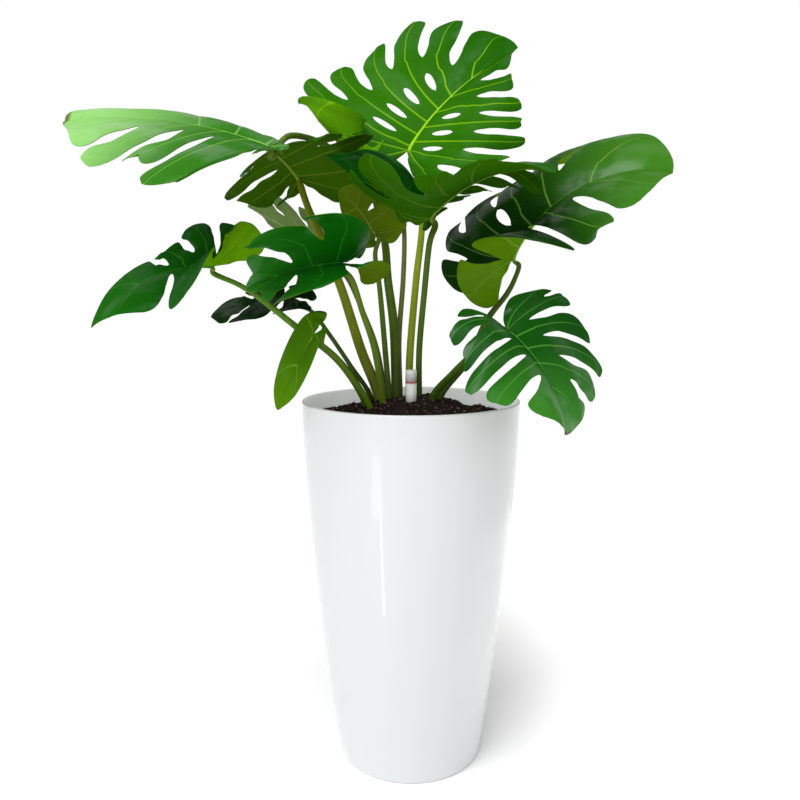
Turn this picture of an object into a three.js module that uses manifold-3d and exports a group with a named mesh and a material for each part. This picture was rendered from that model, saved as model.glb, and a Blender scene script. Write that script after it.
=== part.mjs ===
// Potted monstera: a split-leaf house plant with thirteen leaves, standing in a tall tapered planter
// with a water gauge. Millimetres, +Z up, origin at the middle of the planter's underside, +Y to the back.
import * as THREE from 'three';
import { mergeVertices } from 'three/addons/utils/BufferGeometryUtils.js';
import Module from 'manifold-3d';

const wasm = await Module();
wasm.setup();

// Planter
const POT_HEIGHT = 680;
const POT_RIM_RADIUS = 200;
const POT_BASE_RADIUS = 135;
const POT_SIDE_CURVE = 1.5;        // how much more the side leans in towards the base
const POT_WALL = 6;
const POT_FLOOR = 8;
const POT_BASE_EDGE = 5;           // rounding where the side meets the underside
const POT_SEGMENTS = 40;

// False floor over the water store
const PLATE_BOTTOM = 112;
const PLATE_THICKNESS = 5;
const PLATE_FOOT_RADIUS = 14;
const PLATE_FOOT_CIRCLE = 90;
const PLATE_FOOT_COUNT = 4;

// Soil, heaped round the middle of the planter
const SOIL_EDGE_HEIGHT = 645;
const SOIL_HEAP = 37;
const SOIL_HEAP_RADIUS = 105;
const SOIL_LUMP = 3;

// Water gauge
const GAUGE_X = 0;
const GAUGE_Y = -38;
const GAUGE_RADIUS = 10;
const GAUGE_TOP = 738;
const GAUGE_FOOT = 14;
const GAUGE_BORE = 6.5;
const FLOAT_RADIUS = 6;
const RING_DEPTH = 1.2;
const RING_HEIGHT = 3;
const RING_HEIGHTS = [714, 668];

// Leaves
const BLADE_THICKNESS = 1.4;
const RIB_RADIUS = 2.4;
const STALK_SIDES = 6;
const STALK_STEPS = 15;
const STALK_DEPTH = 600;           // the stalks stand this high above the base, under the soil
const KNEE_BACK = 16;              // the stalk bends into the blade this far behind it
const KNEE_DOWN = 5;
const STALK_STOP = 6;              // end of the stalk short of the middle of the blade
const JOIN_TOLERANCE = 0.08;        // slivers smaller than this are smoothed away after a join
const CLEARANCE = 0.3;
const HOLE_CLEARANCE = 0.45;

const DEG = Math.PI / 180;

// One entry a leaf. at: where the stalk meets the blade. heading, pitch, roll: how the blade lies
// there, in degrees. length: stalk to tip; width: half width over length. droop, curl, sweep, twist:
// how the midrib bends on the way to the tip. Pairs are for the left and the right half: back is the
// bend of the lobes behind the stalk, cup the rise of the half from the midrib, fall its bend to the
// edge, fold the extra rise at the base. reach is the length of each lobe from the base to the tip,
// cut how near each split comes to the midrib, holes the splits that also have a hole near the
// midrib, tip the share of the last lobe, gap the width of the splits. root, stalk, via: where the
// stalk leaves the soil, its radius at both ends and the points that it passes.
const LEAVES = {
  leaf_01: {
    at: [-3, 95, 1142], heading: 35, pitch: 57, roll: -16, length: 274, width: 0.82,
    droop: 11, curl: 0, sweep: -45, twist: 20, back: [13, 37], cup: [25, 12],
    fall: [5, 11], fold: [21, -5], tip: 0.2, gap: 0.35, holes: [[3, 4, 5, 6], [2, 3, 4]],
    reach: [[1.08, 1.25, 1.22, 1.14, 1.1, 1.24, 1.1, 0.99], [0.97, 1.16, 1.21, 1.13, 1.17, 1.09, 0.99]],
    cut: [[0.9, 0.75, 0.6, 0.55, 0.6, 0.55, 0.35], [0.6, 0.55, 0.55, 0.55, 0.45, 0.4]],
    root: [-3, 20], stalk: [8, 5],
    via: [[-1, 24, 769], [10, 36, 898], [21, 50, 1000], [17, 72, 1084]],
  },
  leaf_02: {
    at: [-222, -170, 1099], heading: 172, pitch: 22, roll: 42, length: 294, width: 0.69,
    droop: 9, curl: 0, sweep: 30, twist: 6, back: [-45, -20], cup: [32, -6],
    fall: [13, 85], fold: [3, 0], tip: 0.25, gap: 0.3, holes: [[], []],
    reach: [[0.5, 1.66, 1.42, 1.02, 1.3, 1.2], [0.3, 0.25, 0.38, 0.58, 1.2]],
    cut: [[0.3, 1, 0.3, 0.3, 0.4], [0.5, 0.5, 0.6, 0.72]],
    root: [-27, 12], stalk: [10, 5],
    via: [[-31, 30, 806], [-43, 70, 899], [-51, 110, 980], [-83, 150, 1089],
      [-152, 90, 1145], [-204, -62, 1137]],
  },
  leaf_03: {
    at: [-216, 110, 1093], heading: 253, pitch: 22, roll: -22, length: 204, width: 0.67,
    droop: 42, curl: 0, sweep: 3, twist: -7, back: [9, 30], cup: [-3, -1],
    fall: [10, 23], fold: [-17, -30], tip: 0.2, gap: 0.3, holes: [[], []],
    reach: [[1.6, 1.1, 1.28, 0.95, 0.95], [0.5, 0.77, 0.99, 0.95]],
    cut: [[0.9, 0.8, 0.45, 0.5], [0.3, 0.15, 0.4]],
    root: [-57, -5], stalk: [11, 6],
    via: [[-92, 10, 770], [-129, 45, 880], [-168, 80, 974], [-196, 100, 1036]],
  },
  leaf_04: {
    at: [32, -35, 1004], heading: -50, pitch: 34, roll: -41, length: 235, width: 0.76,
    droop: 57, curl: 0.5, sweep: 5, twist: 6, back: [38, -70], cup: [7, 12],
    fall: [60, -36], fold: [13, 30], tip: 0.2, gap: 0.3, holes: [[], []],
    reach: [[0.98, 0.84, 0.71, 0.76, 1.18, 1.02], [0.95, 1.09, 1.22, 0.68, 0.78, 1.02]],
    cut: [[0.4, 0.4, 0.3, 0.3, 0.4], [0.8, 0.5, 0.45, 0.8, 0.9]],
    root: [15, -8], stalk: [6, 5],
    via: [[15, -14, 772], [23, -28, 872], [31, -45, 957]],
  },
  leaf_05: {
    at: [185, 20, 934], heading: -25, pitch: 67, roll: -31, length: 313, width: 0.71,
    droop: 71, curl: 0, sweep: -20, twist: 5, back: [-2, 68], cup: [44, 4],
    fall: [53, 23], fold: [24, 59], tip: 0.3, gap: 0.3, holes: [[2, 3], []],
    reach: [[1.23, 1.12, 1.08, 1.06, 1.22, 1.07], [0.8, 1, 0.88, 1.07]],
    cut: [[0.5, 0.55, 0.4, 0.4, 0.25], [0.15, 0.3, 0.25]],
    root: [52, 5], stalk: [8, 4],
    via: [[106, 12, 751], [142, 30, 824], [178, 36, 871], [193, 30, 902]],
  },
  leaf_06: {
    at: [-336, -90, 919], heading: 210, pitch: 1, roll: 35, length: 241, width: 0.5,
    droop: 65, curl: 0, sweep: 3, twist: -22, back: [0, 0], cup: [7, 7],
    fall: [29, 24], fold: [80, 26], tip: 0.45, gap: 0.3, holes: [[], []],
    reach: [[1.3, 0.85, 0.69], [1.26, 0.85, 0.5, 0.69]],
    cut: [[0.15, 0.2], [0.25, 0.35, 0.2]],
    root: [-80, -28], stalk: [8, 4],
    via: [[-127, -45, 752], [-195, -60, 810], [-257, -75, 862], [-293, -85, 887]],
  },
  leaf_07: {
    at: [154, -150, 814], heading: -48, pitch: -27, roll: -2, length: 197, width: 0.83,
    droop: 48, curl: 0, sweep: 6, twist: 32, back: [-31, 11], cup: [18, 17],
    fall: [10, 54], fold: [18, 21], tip: 0.25, gap: 0.34, holes: [[], []],
    reach: [[1.25, 0.91, 0.93, 1.18, 1.04, 0.99], [0.95, 1, 0.85, 1.04, 1.06, 0.99]],
    cut: [[0.8, 0.3, 0.25, 0.3, 0.4], [0.4, 0.5, 0.25, 0.2, 0.3]],
    root: [38, -25], stalk: [8, 4],
    via: [[72, -50, 730], [114, -85, 777], [135, -110, 795]],
  },
  leaf_08: {
    at: [-114, -120, 923], heading: 223, pitch: -1, roll: 62, length: 192, width: 0.42,
    droop: 83, curl: 0, sweep: 1, twist: 18, back: [85, 48], cup: [38, 50],
    fall: [-31, -37], fold: [13, 6], tip: 0.33, gap: 0.3, holes: [[], []],
    reach: [[1.2, 1.32, 0.5], [0.8, 1.6, 1.37, 0.5]],
    cut: [[0.3, 0.2], [1, 0.4, 0.2]],
    root: [-50, -48], stalk: [7, 4],
    via: [[-64, -70, 776], [-85, -90, 845], [-100, -105, 895]],
  },
  leaf_09: {
    at: [-70, 55, 985], heading: 245, pitch: 39, roll: -55, length: 134, width: 0.53,
    droop: 8, curl: 0, sweep: -21, twist: -8, back: [35, 40], cup: [-4, -10],
    fall: [49, 59], fold: [-12, 1], tip: 0.4, gap: 0.3, holes: [[], []],
    reach: [[1.22, 0.92, 0.83], [0.62, 0.83]],
    cut: [[1, 0.2], [0.5]],
    root: [-40, -22], stalk: [6, 4],
    via: [[-47, -10, 771], [-57, 15, 880], [-66, 40, 944]],
  },
  leaf_10: {
    at: [-163, -130, 805], heading: 140, pitch: -49, roll: 79, length: 146, width: 0.3,
    droop: -9, curl: 0, sweep: 24, twist: -3, back: [40, 40], cup: [13, 11],
    fall: [21, 20], fold: [2, 2], tip: 0.6, gap: 0.3, holes: [[], []],
    reach: [[0.77, 1], [1.11, 1]],
    cut: [[1], [1]],
    root: [-72, -55], stalk: [6, 3.5],
    via: [[-104, -66, 726], [-129, -84, 763], [-151, -104, 786]],
  },
  leaf_11: {
    at: [-217, 15, 865], heading: 169, pitch: -2, roll: 29, length: 167, width: 0.34,
    droop: 21, curl: 0, sweep: -1, twist: 4, back: [40, 40], cup: [9, 10],
    fall: [23, 22], fold: [0, 0], tip: 0.3, gap: 0.3, holes: [[], []],
    reach: [[1, 1.08, 0.99], [1, 1.01, 0.99]],
    cut: [[0.2, 0.2], [0.2, 0.2]],
    root: [-72, 22], stalk: [5, 3.5],
    via: [[-113, 20, 741], [-150, 18, 797], [-182, 15, 840]],
  },
  leaf_12: {
    at: [-178, 188, 958], heading: 164, pitch: 36, roll: -33, length: 185, width: 0.43,
    droop: 11, curl: 0, sweep: -4, twist: 11, back: [40, 40], cup: [15, 14],
    fall: [7, 17], fold: [1, 0], tip: 0.3, gap: 0.3, holes: [[], []],
    reach: [[1, 1.17, 1.13, 0.91], [1, 1.04, 0.91]],
    cut: [[0.4, 0.4, 0.4], [0.4, 0.4]],
    root: [-50, 30], stalk: [6, 4],
    via: [[-64, 55, 767], [-94, 100, 842], [-130, 140, 910]],
  },
  leaf_13: {
    at: [-14, 10, 1050], heading: 162, pitch: 54, roll: -65, length: 141, width: 0.6,
    droop: 90, curl: 0, sweep: 24, twist: 6, back: [-32, -32], cup: [4, 20],
    fall: [64, -4], fold: [0, 0], tip: 0.5, gap: 0.3, holes: [[], []],
    reach: [[1, 1.1], [0.96, 1.1]],
    cut: [[1], [1]],
    root: [-20, 42], stalk: [6, 4],
    via: [[-22, 52, 786], [-14, 64, 899], [-12, 68, 988]],
  },
};

const BLADE_ROWS = [0, 0.14, 0.3, 0.48, 0.68, 0.84, 0.94, 1];
const HOLED_ROWS = [0, 0.1, 0.17, 0.25, 0.33, 0.42, 0.54, 0.68, 0.84, 0.94, 1];
const HOLE_MIDDLE = 0.25;
const HOLE_HALF_LENGTH = 0.1;
const HOLE_HALF_WIDTH = 0.16;
const RIB_STATIONS = 24;

const PLANTER_WHITE = 0xeef1f1;
const SOIL_BROWN = 0x2a2220;
const LEAF_GREENS = [0x2f8a22, 0x5b9a55, 0x3f5c14, 0x2f4a12, 0x2e6b22, 0x1f5a1a, 0x2c6a2c, 0x0f5a1c];
const STALK_GREEN = 0x5d7a1e;

const clamp = (x, low, high) => Math.min(Math.max(x, low), high);
const quarterRound = (x) => 1 - Math.sqrt(1 - 0.999 * x * x);

// ---------------------------------------------------------------- solids

// A closed indexed geometry as a solid for joining and cutting.
function solidOf(geometry) {
  const bare = geometry.clone();
  bare.deleteAttribute('normal');
  bare.deleteAttribute('uv');
  const merged = mergeVertices(bare, 1e-4);
  const corners = Array.from(merged.index.array);
  const kept = [];
  for (let i = 0; i < corners.length; i += 3) {
    const [a, b, c] = corners.slice(i, i + 3);
    if (a !== b && b !== c && c !== a) kept.push(a, b, c);
  }
  return new wasm.Manifold(new wasm.Mesh({
    numProp: 3,
    vertProperties: new Float32Array(merged.attributes.position.array),
    triVerts: new Uint32Array(kept),
  }));
}

function geometryOf(solid) {
  const mesh = solid.getMesh();
  const geometry = new THREE.BufferGeometry();
  geometry.setAttribute('position', new THREE.BufferAttribute(new Float32Array(mesh.vertProperties), 3));
  geometry.setIndex(Array.from(mesh.triVerts));
  return geometry;
}

// The solid without the scraps that a join can leave.
function largestBody(solid) {
  return solid.decompose().reduce((a, b) => (b.volume() > a.volume() ? b : a));
}

function part(name, geometry, color, roughness) {
  const faceted = geometry.index ? geometry : mergeVertices(geometry);
  faceted.computeVertexNormals();
  const material = new THREE.MeshStandardMaterial({ color, roughness, metalness: 0 });
  const mesh = new THREE.Mesh(faceted, material);
  mesh.name = name;
  return mesh;
}

// Solid turned about the Z axis from [radius, height] points that run counter-clockwise.
function turned(points, segments) {
  const profile = points.map(([radius, height]) => new THREE.Vector2(radius, height));
  const geometry = new THREE.LatheGeometry(profile, segments);
  geometry.rotateX(Math.PI / 2);
  return geometry;
}

// Closed tube along a curve whose radius changes from one end to the other.
function taperedTube(curve, radiusAt, sides, steps) {
  const positions = [];
  const index = [];
  let spoke = new THREE.Vector3(1, 0.2, 0.1);
  for (let k = 0; k <= steps; k += 1) {
    const centre = curve.getPoint(k / steps);
    const ahead = curve.getTangent(k / steps);
    const radius = radiusAt(k / steps);
    spoke = spoke.clone().addScaledVector(ahead, -spoke.dot(ahead)).normalize();
    const across = new THREE.Vector3().crossVectors(ahead, spoke);
    for (let s = 0; s < sides; s += 1) {
      const angle = (s / sides) * 2 * Math.PI;
      positions.push(...centre.clone().addScaledVector(spoke, Math.cos(angle) * radius)
        .addScaledVector(across, Math.sin(angle) * radius).toArray());
    }
  }
  for (let k = 0; k < steps; k += 1) {
    for (let s = 0; s < sides; s += 1) {
      const a = k * sides + s;
      const b = k * sides + (s + 1) % sides;
      index.push(a, b, b + sides, a, b + sides, a + sides);
    }
  }
  const last = steps * sides;
  for (let s = 1; s < sides - 1; s += 1) {
    index.push(0, s + 1, s, last, last + s, last + s + 1);
  }
  const geometry = new THREE.BufferGeometry();
  geometry.setAttribute('position', new THREE.Float32BufferAttribute(positions, 3));
  geometry.setIndex(index);
  return geometry;
}

// ---------------------------------------------------------------- planter

function potRadius(height) {
  const below = 1 - height / POT_HEIGHT;
  return POT_BASE_RADIUS + (POT_RIM_RADIUS - POT_BASE_RADIUS) * (1 - below ** POT_SIDE_CURVE);
}

function potGeometry() {
  const outside = [[0, 0], [POT_BASE_RADIUS - POT_BASE_EDGE, 0], [POT_BASE_RADIUS - 1.4, 1.5]];
  outside.push([POT_BASE_RADIUS + 0.8, POT_BASE_EDGE]);
  for (const height of [70, 150, 240, 340, 450, 570, POT_HEIGHT - 4]) {
    outside.push([potRadius(height), height]);
  }
  outside.push([POT_RIM_RADIUS - 1.2, POT_HEIGHT - 1], [POT_RIM_RADIUS - 2.6, POT_HEIGHT]);
  outside.push([POT_RIM_RADIUS - POT_WALL + 1.4, POT_HEIGHT]);
  const inside = [POT_HEIGHT - 3, 570, 450, 340, 240, 150, PLATE_BOTTOM, POT_FLOOR]
    .map((height) => [potRadius(height) - POT_WALL, height]);
  return turned([...outside, ...inside, [0, POT_FLOOR]], POT_SEGMENTS);
}

function plateGeometry() {
  const radius = potRadius(PLATE_BOTTOM) - POT_WALL - 1;
  const top = PLATE_BOTTOM + PLATE_THICKNESS;
  const disc = turned([[0, PLATE_BOTTOM], [radius, PLATE_BOTTOM], [radius, top], [0, top]], 32);
  let plate = solidOf(disc);
  const footHeight = PLATE_BOTTOM - POT_FLOOR - CLEARANCE + 1;
  for (let k = 0; k < PLATE_FOOT_COUNT; k += 1) {
    const angle = ((k + 0.5) / PLATE_FOOT_COUNT) * 2 * Math.PI;
    const foot = new THREE.CylinderGeometry(PLATE_FOOT_RADIUS, PLATE_FOOT_RADIUS, footHeight, 10);
    foot.rotateX(Math.PI / 2);
    foot.translate(Math.cos(angle) * PLATE_FOOT_CIRCLE, Math.sin(angle) * PLATE_FOOT_CIRCLE,
      PLATE_BOTTOM + 1 - footHeight / 2);
    plate = plate.add(solidOf(foot));
  }
  return geometryOf(plate.subtract(gaugeHole(GAUGE_RADIUS + 1)));
}

// ---------------------------------------------------------------- water gauge

function gaugeHole(radius) {
  const length = GAUGE_TOP;
  const hole = new THREE.CylinderGeometry(radius, radius, length, 16);
  hole.rotateX(Math.PI / 2);
  hole.translate(GAUGE_X, GAUGE_Y, length / 2 + POT_FLOOR + 1);
  return solidOf(hole);
}

function gaugeGeometry() {
  const groove = GAUGE_RADIUS - RING_DEPTH;
  const side = [[GAUGE_BORE, GAUGE_FOOT], [GAUGE_RADIUS, GAUGE_FOOT]];
  for (const height of [...RING_HEIGHTS].reverse()) {
    side.push([GAUGE_RADIUS, height], [groove, height]);
    side.push([groove, height + RING_HEIGHT], [GAUGE_RADIUS, height + RING_HEIGHT]);
  }
  side.push([GAUGE_RADIUS, GAUGE_TOP - 2.5], [GAUGE_RADIUS - 2.5, GAUGE_TOP], [0, GAUGE_TOP]);
  side.push([0, GAUGE_TOP - 4], [GAUGE_BORE, GAUGE_TOP - 4], [GAUGE_BORE, GAUGE_FOOT]);
  const tube = turned(side, 16);
  tube.translate(GAUGE_X, GAUGE_Y, 0);
  return tube;
}

function ringGeometry(height) {
  const inner = GAUGE_RADIUS - RING_DEPTH + CLEARANCE;
  const low = height + CLEARANCE;
  const high = height + RING_HEIGHT - CLEARANCE;
  const outer = GAUGE_RADIUS + 0.2;
  const ring = turned([[inner, low], [outer, low], [outer, high], [inner, high], [inner, low]], 16);
  ring.translate(GAUGE_X, GAUGE_Y, 0);
  return ring;
}

function floatGeometry() {
  const bottom = GAUGE_FOOT + 2;
  const body = bottom + 60;
  const top = GAUGE_TOP - 60;
  const profile = [[0, bottom], [FLOAT_RADIUS, bottom], [FLOAT_RADIUS, body], [2, body + 3]];
  profile.push([2, top], [0, top]);
  const rod = turned(profile, 12);
  rod.translate(GAUGE_X, GAUGE_Y, 0);
  return rod;
}

// ---------------------------------------------------------------- soil

function soilTop(radius) {
  return SOIL_EDGE_HEIGHT + SOIL_HEAP / (1 + (radius / SOIL_HEAP_RADIUS) ** 4);
}

function soilGeometry(cutters) {
  const low = PLATE_BOTTOM + PLATE_THICKNESS + CLEARANCE;
  const profile = [[0, low]];
  for (const height of [low, 240, 340, 450, 570, SOIL_EDGE_HEIGHT]) {
    profile.push([potRadius(height) - POT_WALL - CLEARANCE - 1, height]);
  }
  for (const radius of [172, 150, 125, 100, 75, 50, 25, 0]) {
    profile.push([radius, soilTop(radius)]);
  }
  const soil = turned(profile, 30);
  const position = soil.attributes.position;
  for (let i = 0; i < position.count; i += 1) {
    const [x, y, z] = [position.getX(i), position.getY(i), position.getZ(i)];
    const radius = Math.hypot(x, y);
    if (z > SOIL_EDGE_HEIGHT + 0.1 && radius > 1) {
      const lump = Math.sin(x * 0.11 + 1.3) * Math.cos(y * 0.13) + 0.6 * Math.sin((x + y) * 0.23);
      position.setZ(i, z + SOIL_LUMP * lump);
    }
  }
  let solid = solidOf(soil);
  for (const cutter of cutters) solid = solid.subtract(cutter);
  return geometryOf(solid.asOriginal().simplify(JOIN_TOLERANCE));
}

// ---------------------------------------------------------------- leaves

// Directions along the midrib, out of the upper face and to the left, where the stalk joins.
function bladeAxes(leaf) {
  const [h, p, r] = [leaf.heading * DEG, leaf.pitch * DEG, leaf.roll * DEG];
  const along = new THREE.Vector3(Math.cos(p) * Math.cos(h), Math.cos(p) * Math.sin(h), Math.sin(p));
  const up = new THREE.Vector3(-Math.sin(p) * Math.cos(h), -Math.sin(p) * Math.sin(h), Math.cos(p));
  const left = new THREE.Vector3().crossVectors(up, along);
  const face = up.clone().multiplyScalar(Math.cos(r)).addScaledVector(left, Math.sin(r));
  const side = left.clone().multiplyScalar(Math.cos(r)).addScaledVector(up, -Math.sin(r));
  return { along, face, side };
}

// Frames along the bent midrib, from the stalk to a little past the tip.
function midribFrames(leaf) {
  let { along, face, side } = bladeAxes(leaf);
  let point = new THREE.Vector3();
  const step = (1.1 * leaf.length) / RIB_STATIONS;
  const frames = [{ point, along, face, side }];
  for (let i = 0; i < RIB_STATIONS; i += 1) {
    const s = (1.1 * (i + 0.5)) / RIB_STATIONS;
    const dip = ((leaf.droop * DEG) / leaf.length) * (1 + leaf.curl * (2 * s - 1)) * step;
    const yaw = ((leaf.sweep * DEG) / leaf.length) * step;
    const roll = ((leaf.twist * DEG) / leaf.length) * step;
    const ahead = along.clone().addScaledVector(face, -dip).addScaledVector(side, yaw).normalize();
    const raised = face.clone().addScaledVector(along, dip).addScaledVector(side, roll);
    raised.addScaledVector(ahead, -raised.dot(ahead)).normalize();
    point = point.clone().addScaledVector(along.clone().add(ahead), step / 2);
    along = ahead;
    face = raised;
    side = new THREE.Vector3().crossVectors(face, along);
    frames.push({ point, along, face, side });
  }
  return frames;
}

function mixedFrame(frames, distance, length) {
  const t = clamp((distance / (1.1 * length)) * RIB_STATIONS, 0, RIB_STATIONS - 1e-6);
  const i = Math.floor(t);
  const [a, b] = [frames[i], frames[i + 1]];
  const mix = (key) => a[key].clone().lerp(b[key], t - i);
  return { point: mix('point'), along: mix('along'), face: mix('face'), side: mix('side') };
}

// Point of the blade at x along the midrib and b out from it, and the direction out of its face.
function placeOnBlade(leaf, frames, half, x, b, lift) {
  const k = half > 0 ? 0 : 1;
  const frame = mixedFrame(frames, x, leaf.length);
  const bend = Math.abs(leaf.back[k]) > 1e-6 ? (leaf.back[k] * DEG) / (0.3 * leaf.length) : 1e-7;
  const angle = bend * Math.min(x, 0);
  const centre = frame.point.addScaledVector(frame.along, Math.sin(angle) / bend)
    .addScaledVector(frame.face, -(1 - Math.cos(angle)) / bend);
  const face = frame.face.clone().multiplyScalar(Math.cos(angle))
    .addScaledVector(frame.along, Math.sin(angle));
  const q = clamp((x / leaf.length + 0.1) / 0.5, 0, 1);
  const rise = (leaf.cup[k] + leaf.fold[k] * (1 - q * q * (3 - 2 * q))) * DEG;
  const fall = Math.abs(leaf.fall[k]) > 1e-6 ? (leaf.fall[k] * DEG) / (0.5 * leaf.length) : 1e-7;
  const slope = rise - fall * b;
  const out = (Math.sin(rise) - Math.sin(slope)) / fall;
  const height = (Math.cos(slope) - Math.cos(rise)) / fall;
  const normal = frame.side.clone().multiplyScalar(-Math.sin(slope) * half)
    .addScaledVector(face, Math.cos(slope)).normalize();
  const point = new THREE.Vector3(...leaf.at).add(centre).addScaledVector(frame.side, half * out)
    .addScaledVector(face, height).addScaledVector(normal, lift);
  return { point, normal: b > 1e-6 ? normal : frame.face.clone().normalize() };
}

// Flat outline of half a blade, on a fan from the basal edge, 0, to the tip, 1.
function outlineAt(w) {
  const turn = 168 * DEG * (1 - w);
  const lengthwise = Math.cos(turn) ** 2;
  const radius = 0.53 + (turn < Math.PI / 2 ? 0.10 : 0.13) * lengthwise
    + 0.05 * Math.exp(-((turn / (11 * DEG)) ** 2));
  return [0.37 + radius * Math.cos(turn), radius * Math.sin(turn)];
}

function interpolate(x, knots, values) {
  if (x <= knots[0]) return values[0];
  for (let i = 1; i < knots.length; i += 1) {
    if (x <= knots[i]) {
      const f = (x - knots[i - 1]) / (knots[i] - knots[i - 1]);
      return values[i - 1] + f * (values[i] - values[i - 1]);
    }
  }
  return values[values.length - 1];
}

// From the midrib, v = 0, to the edge, v = 1, on a vein that leans towards the tip.
function flatPoint(leaf, w, v, reach) {
  const [edgeX, edgeB] = outlineAt(w);
  const startX = 0.80 * clamp((w - 0.24) / 0.76, 0, 1) ** 1.15;
  const dx = (edgeX - startX) * reach;
  const db = edgeB * reach;
  const bow = 0.12 * Math.min((1 - w) / 0.15, 1);
  const bendX = startX + 0.5 * dx - bow * db;
  const bendB = 0.5 * db + bow * dx;
  const x = (1 - v) ** 2 * startX + 2 * v * (1 - v) * bendX + v * v * (startX + dx);
  const b = 2 * v * (1 - v) * bendB + v * v * db;
  return [x * leaf.length, (b * leaf.width * leaf.length) / 0.53];
}

// Half the width of the split or hole at the edge between two lobes, in lobe widths.
function halfGap(leaf, cuts, holes, edge, count, v, rounding) {
  if (edge === 0) return 0.3 * quarterRound(clamp((v - 0.82) / 0.18, 0, 1));
  if (edge === count) return 0;
  const along = (v - HOLE_MIDDLE) / HOLE_HALF_LENGTH;
  if (holes.includes(edge) && Math.abs(along) < 0.99) {
    return HOLE_HALF_WIDTH * Math.sqrt(1 - along * along);
  }
  const cut = cuts[edge - 1];
  if (v <= cut || cut >= 1) return 0;
  const x = (v - cut) / (1 - cut);
  const round = rounding * quarterRound(clamp((v - 0.82) / 0.18, 0, 1));
  return leaf.gap * 0.5 * Math.sqrt(Math.min(x / 0.3, 1)) * (1 - 0.4 * x) + round;
}

// Half a blade as a closed sheet of even thickness.
function halfBlade(leaf, frames, half) {
  const k = half > 0 ? 0 : 1;
  const [reach, cuts, holes] = [leaf.reach[k], leaf.cut[k], leaf.holes[k]];
  const count = reach.length;
  const rows = leaf.holes[0].length ? HOLED_ROWS : BLADE_ROWS;
  const edges = reach.map((_, i) => (i / (count - 1)) * (1 - leaf.tip));
  edges.push(1);
  const middles = reach.map((_, i) => (edges[i] + edges[i + 1]) / 2);
  const vertices = new Map();
  const positions = [];
  const vertexAt = (w, v) => {
    const [x, b] = flatPoint(leaf, w, v, interpolate(w, middles, reach));
    const { point, normal } = placeOnBlade(leaf, frames, half, x, b, 0);
    const key = point.toArray().map((c) => c.toFixed(2)).join();
    if (!vertices.has(key)) {
      vertices.set(key, positions.length / 6);
      positions.push(...point.toArray(), ...point.addScaledVector(normal, -BLADE_THICKNESS).toArray());
    }
    return vertices.get(key);
  };
  const triangles = [];
  for (let i = 0; i < count; i += 1) {
    const width = edges[i + 1] - edges[i];
    const share = Math.min(width, 0.2);
    const columns = i === count - 1 ? 2 : 1;
    const grid = rows.map((v) => {
      const low = edges[i] + halfGap(leaf, cuts, holes, i, count, v, 0.36) * share;
      const high = edges[i + 1] - halfGap(leaf, cuts, holes, i + 1, count, v, 0.14) * share;
      return Array.from({ length: columns + 1 }, (_, c) => vertexAt(low + ((high - low) * c) / columns, v));
    });
    for (let r = 0; r < rows.length - 1; r += 1) {
      for (let c = 0; c < columns; c += 1) {
        const [p, q, s, t] = [grid[r][c], grid[r][c + 1], grid[r + 1][c + 1], grid[r + 1][c]];
        triangles.push([p, q, s], [p, s, t]);
      }
    }
  }
  return sheetGeometry(positions, triangles.filter(([a, b, c]) => a !== b && b !== c && c !== a), half);
}

// Upper face, the same triangles underneath, and walls along every free edge.
function sheetGeometry(positions, triangles, half) {
  const index = [];
  const edges = new Set();
  const ordered = triangles.map(([a, b, c]) => (half > 0 ? [a, b, c] : [a, c, b]));
  for (const [a, b, c] of ordered) {
    edges.add(`${a},${b}`).add(`${b},${c}`).add(`${c},${a}`);
    index.push(2 * a, 2 * b, 2 * c, 2 * a + 1, 2 * c + 1, 2 * b + 1);
  }
  for (const edge of edges) {
    const [a, b] = edge.split(',').map(Number);
    if (!edges.has(`${b},${a}`)) {
      index.push(2 * a, 2 * a + 1, 2 * b + 1, 2 * a, 2 * b + 1, 2 * b);
    }
  }
  const geometry = new THREE.BufferGeometry();
  geometry.setAttribute('position', new THREE.Float32BufferAttribute(positions, 3));
  geometry.setIndex(index);
  return geometry;
}

// Both halves joined by the rib that runs under the midrib.
function bladeGeometry(leaf, frames) {
  const points = [-0.015, 0.12, 0.25, 0.4, 0.55, 0.7, 0.83].map((s) => {
    const frame = mixedFrame(frames, s * leaf.length, leaf.length);
    return new THREE.Vector3(...leaf.at).add(frame.point).addScaledVector(frame.face, -1.2)
      .addScaledVector(frame.along, Math.min(s, 0) * leaf.length);
  });
  const rib = taperedTube(new THREE.CatmullRomCurve3(points, false, 'catmullrom'),
    (t) => RIB_RADIUS * (1.25 - 0.75 * t), 4, 6);
  const blade = solidOf(halfBlade(leaf, frames, 1))
    .add(solidOf(halfBlade(leaf, frames, -1))).add(solidOf(rib));
  return geometryOf(largestBody(blade).asOriginal().simplify(JOIN_TOLERANCE));
}

// Path of a stalk from under the soil through its bend into the blade.
function stalkCurve(leaf, extra) {
  const { along, face } = bladeAxes(leaf);
  const [x, y] = leaf.root;
  const points = [[x, y, STALK_DEPTH - extra], [x, y, soilTop(Math.hypot(x, y))], ...leaf.via]
    .map((p) => new THREE.Vector3(...p));
  const joint = new THREE.Vector3(...leaf.at);
  points.push(joint.clone().addScaledVector(face, -KNEE_BACK).addScaledVector(along, -KNEE_DOWN));
  points.push(joint.clone().addScaledVector(face, -STALK_STOP));
  return new THREE.CatmullRomCurve3(points, false, 'catmullrom');
}

function stalkGeometry(leaf, extra) {
  const [low, high] = leaf.stalk;
  const radiusAt = (t) => low + (high - low) * Math.min(1.25 * t, 1) + extra;
  return taperedTube(stalkCurve(leaf, extra), radiusAt, STALK_SIDES, STALK_STEPS);
}

// ---------------------------------------------------------------- plant in its planter

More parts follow.
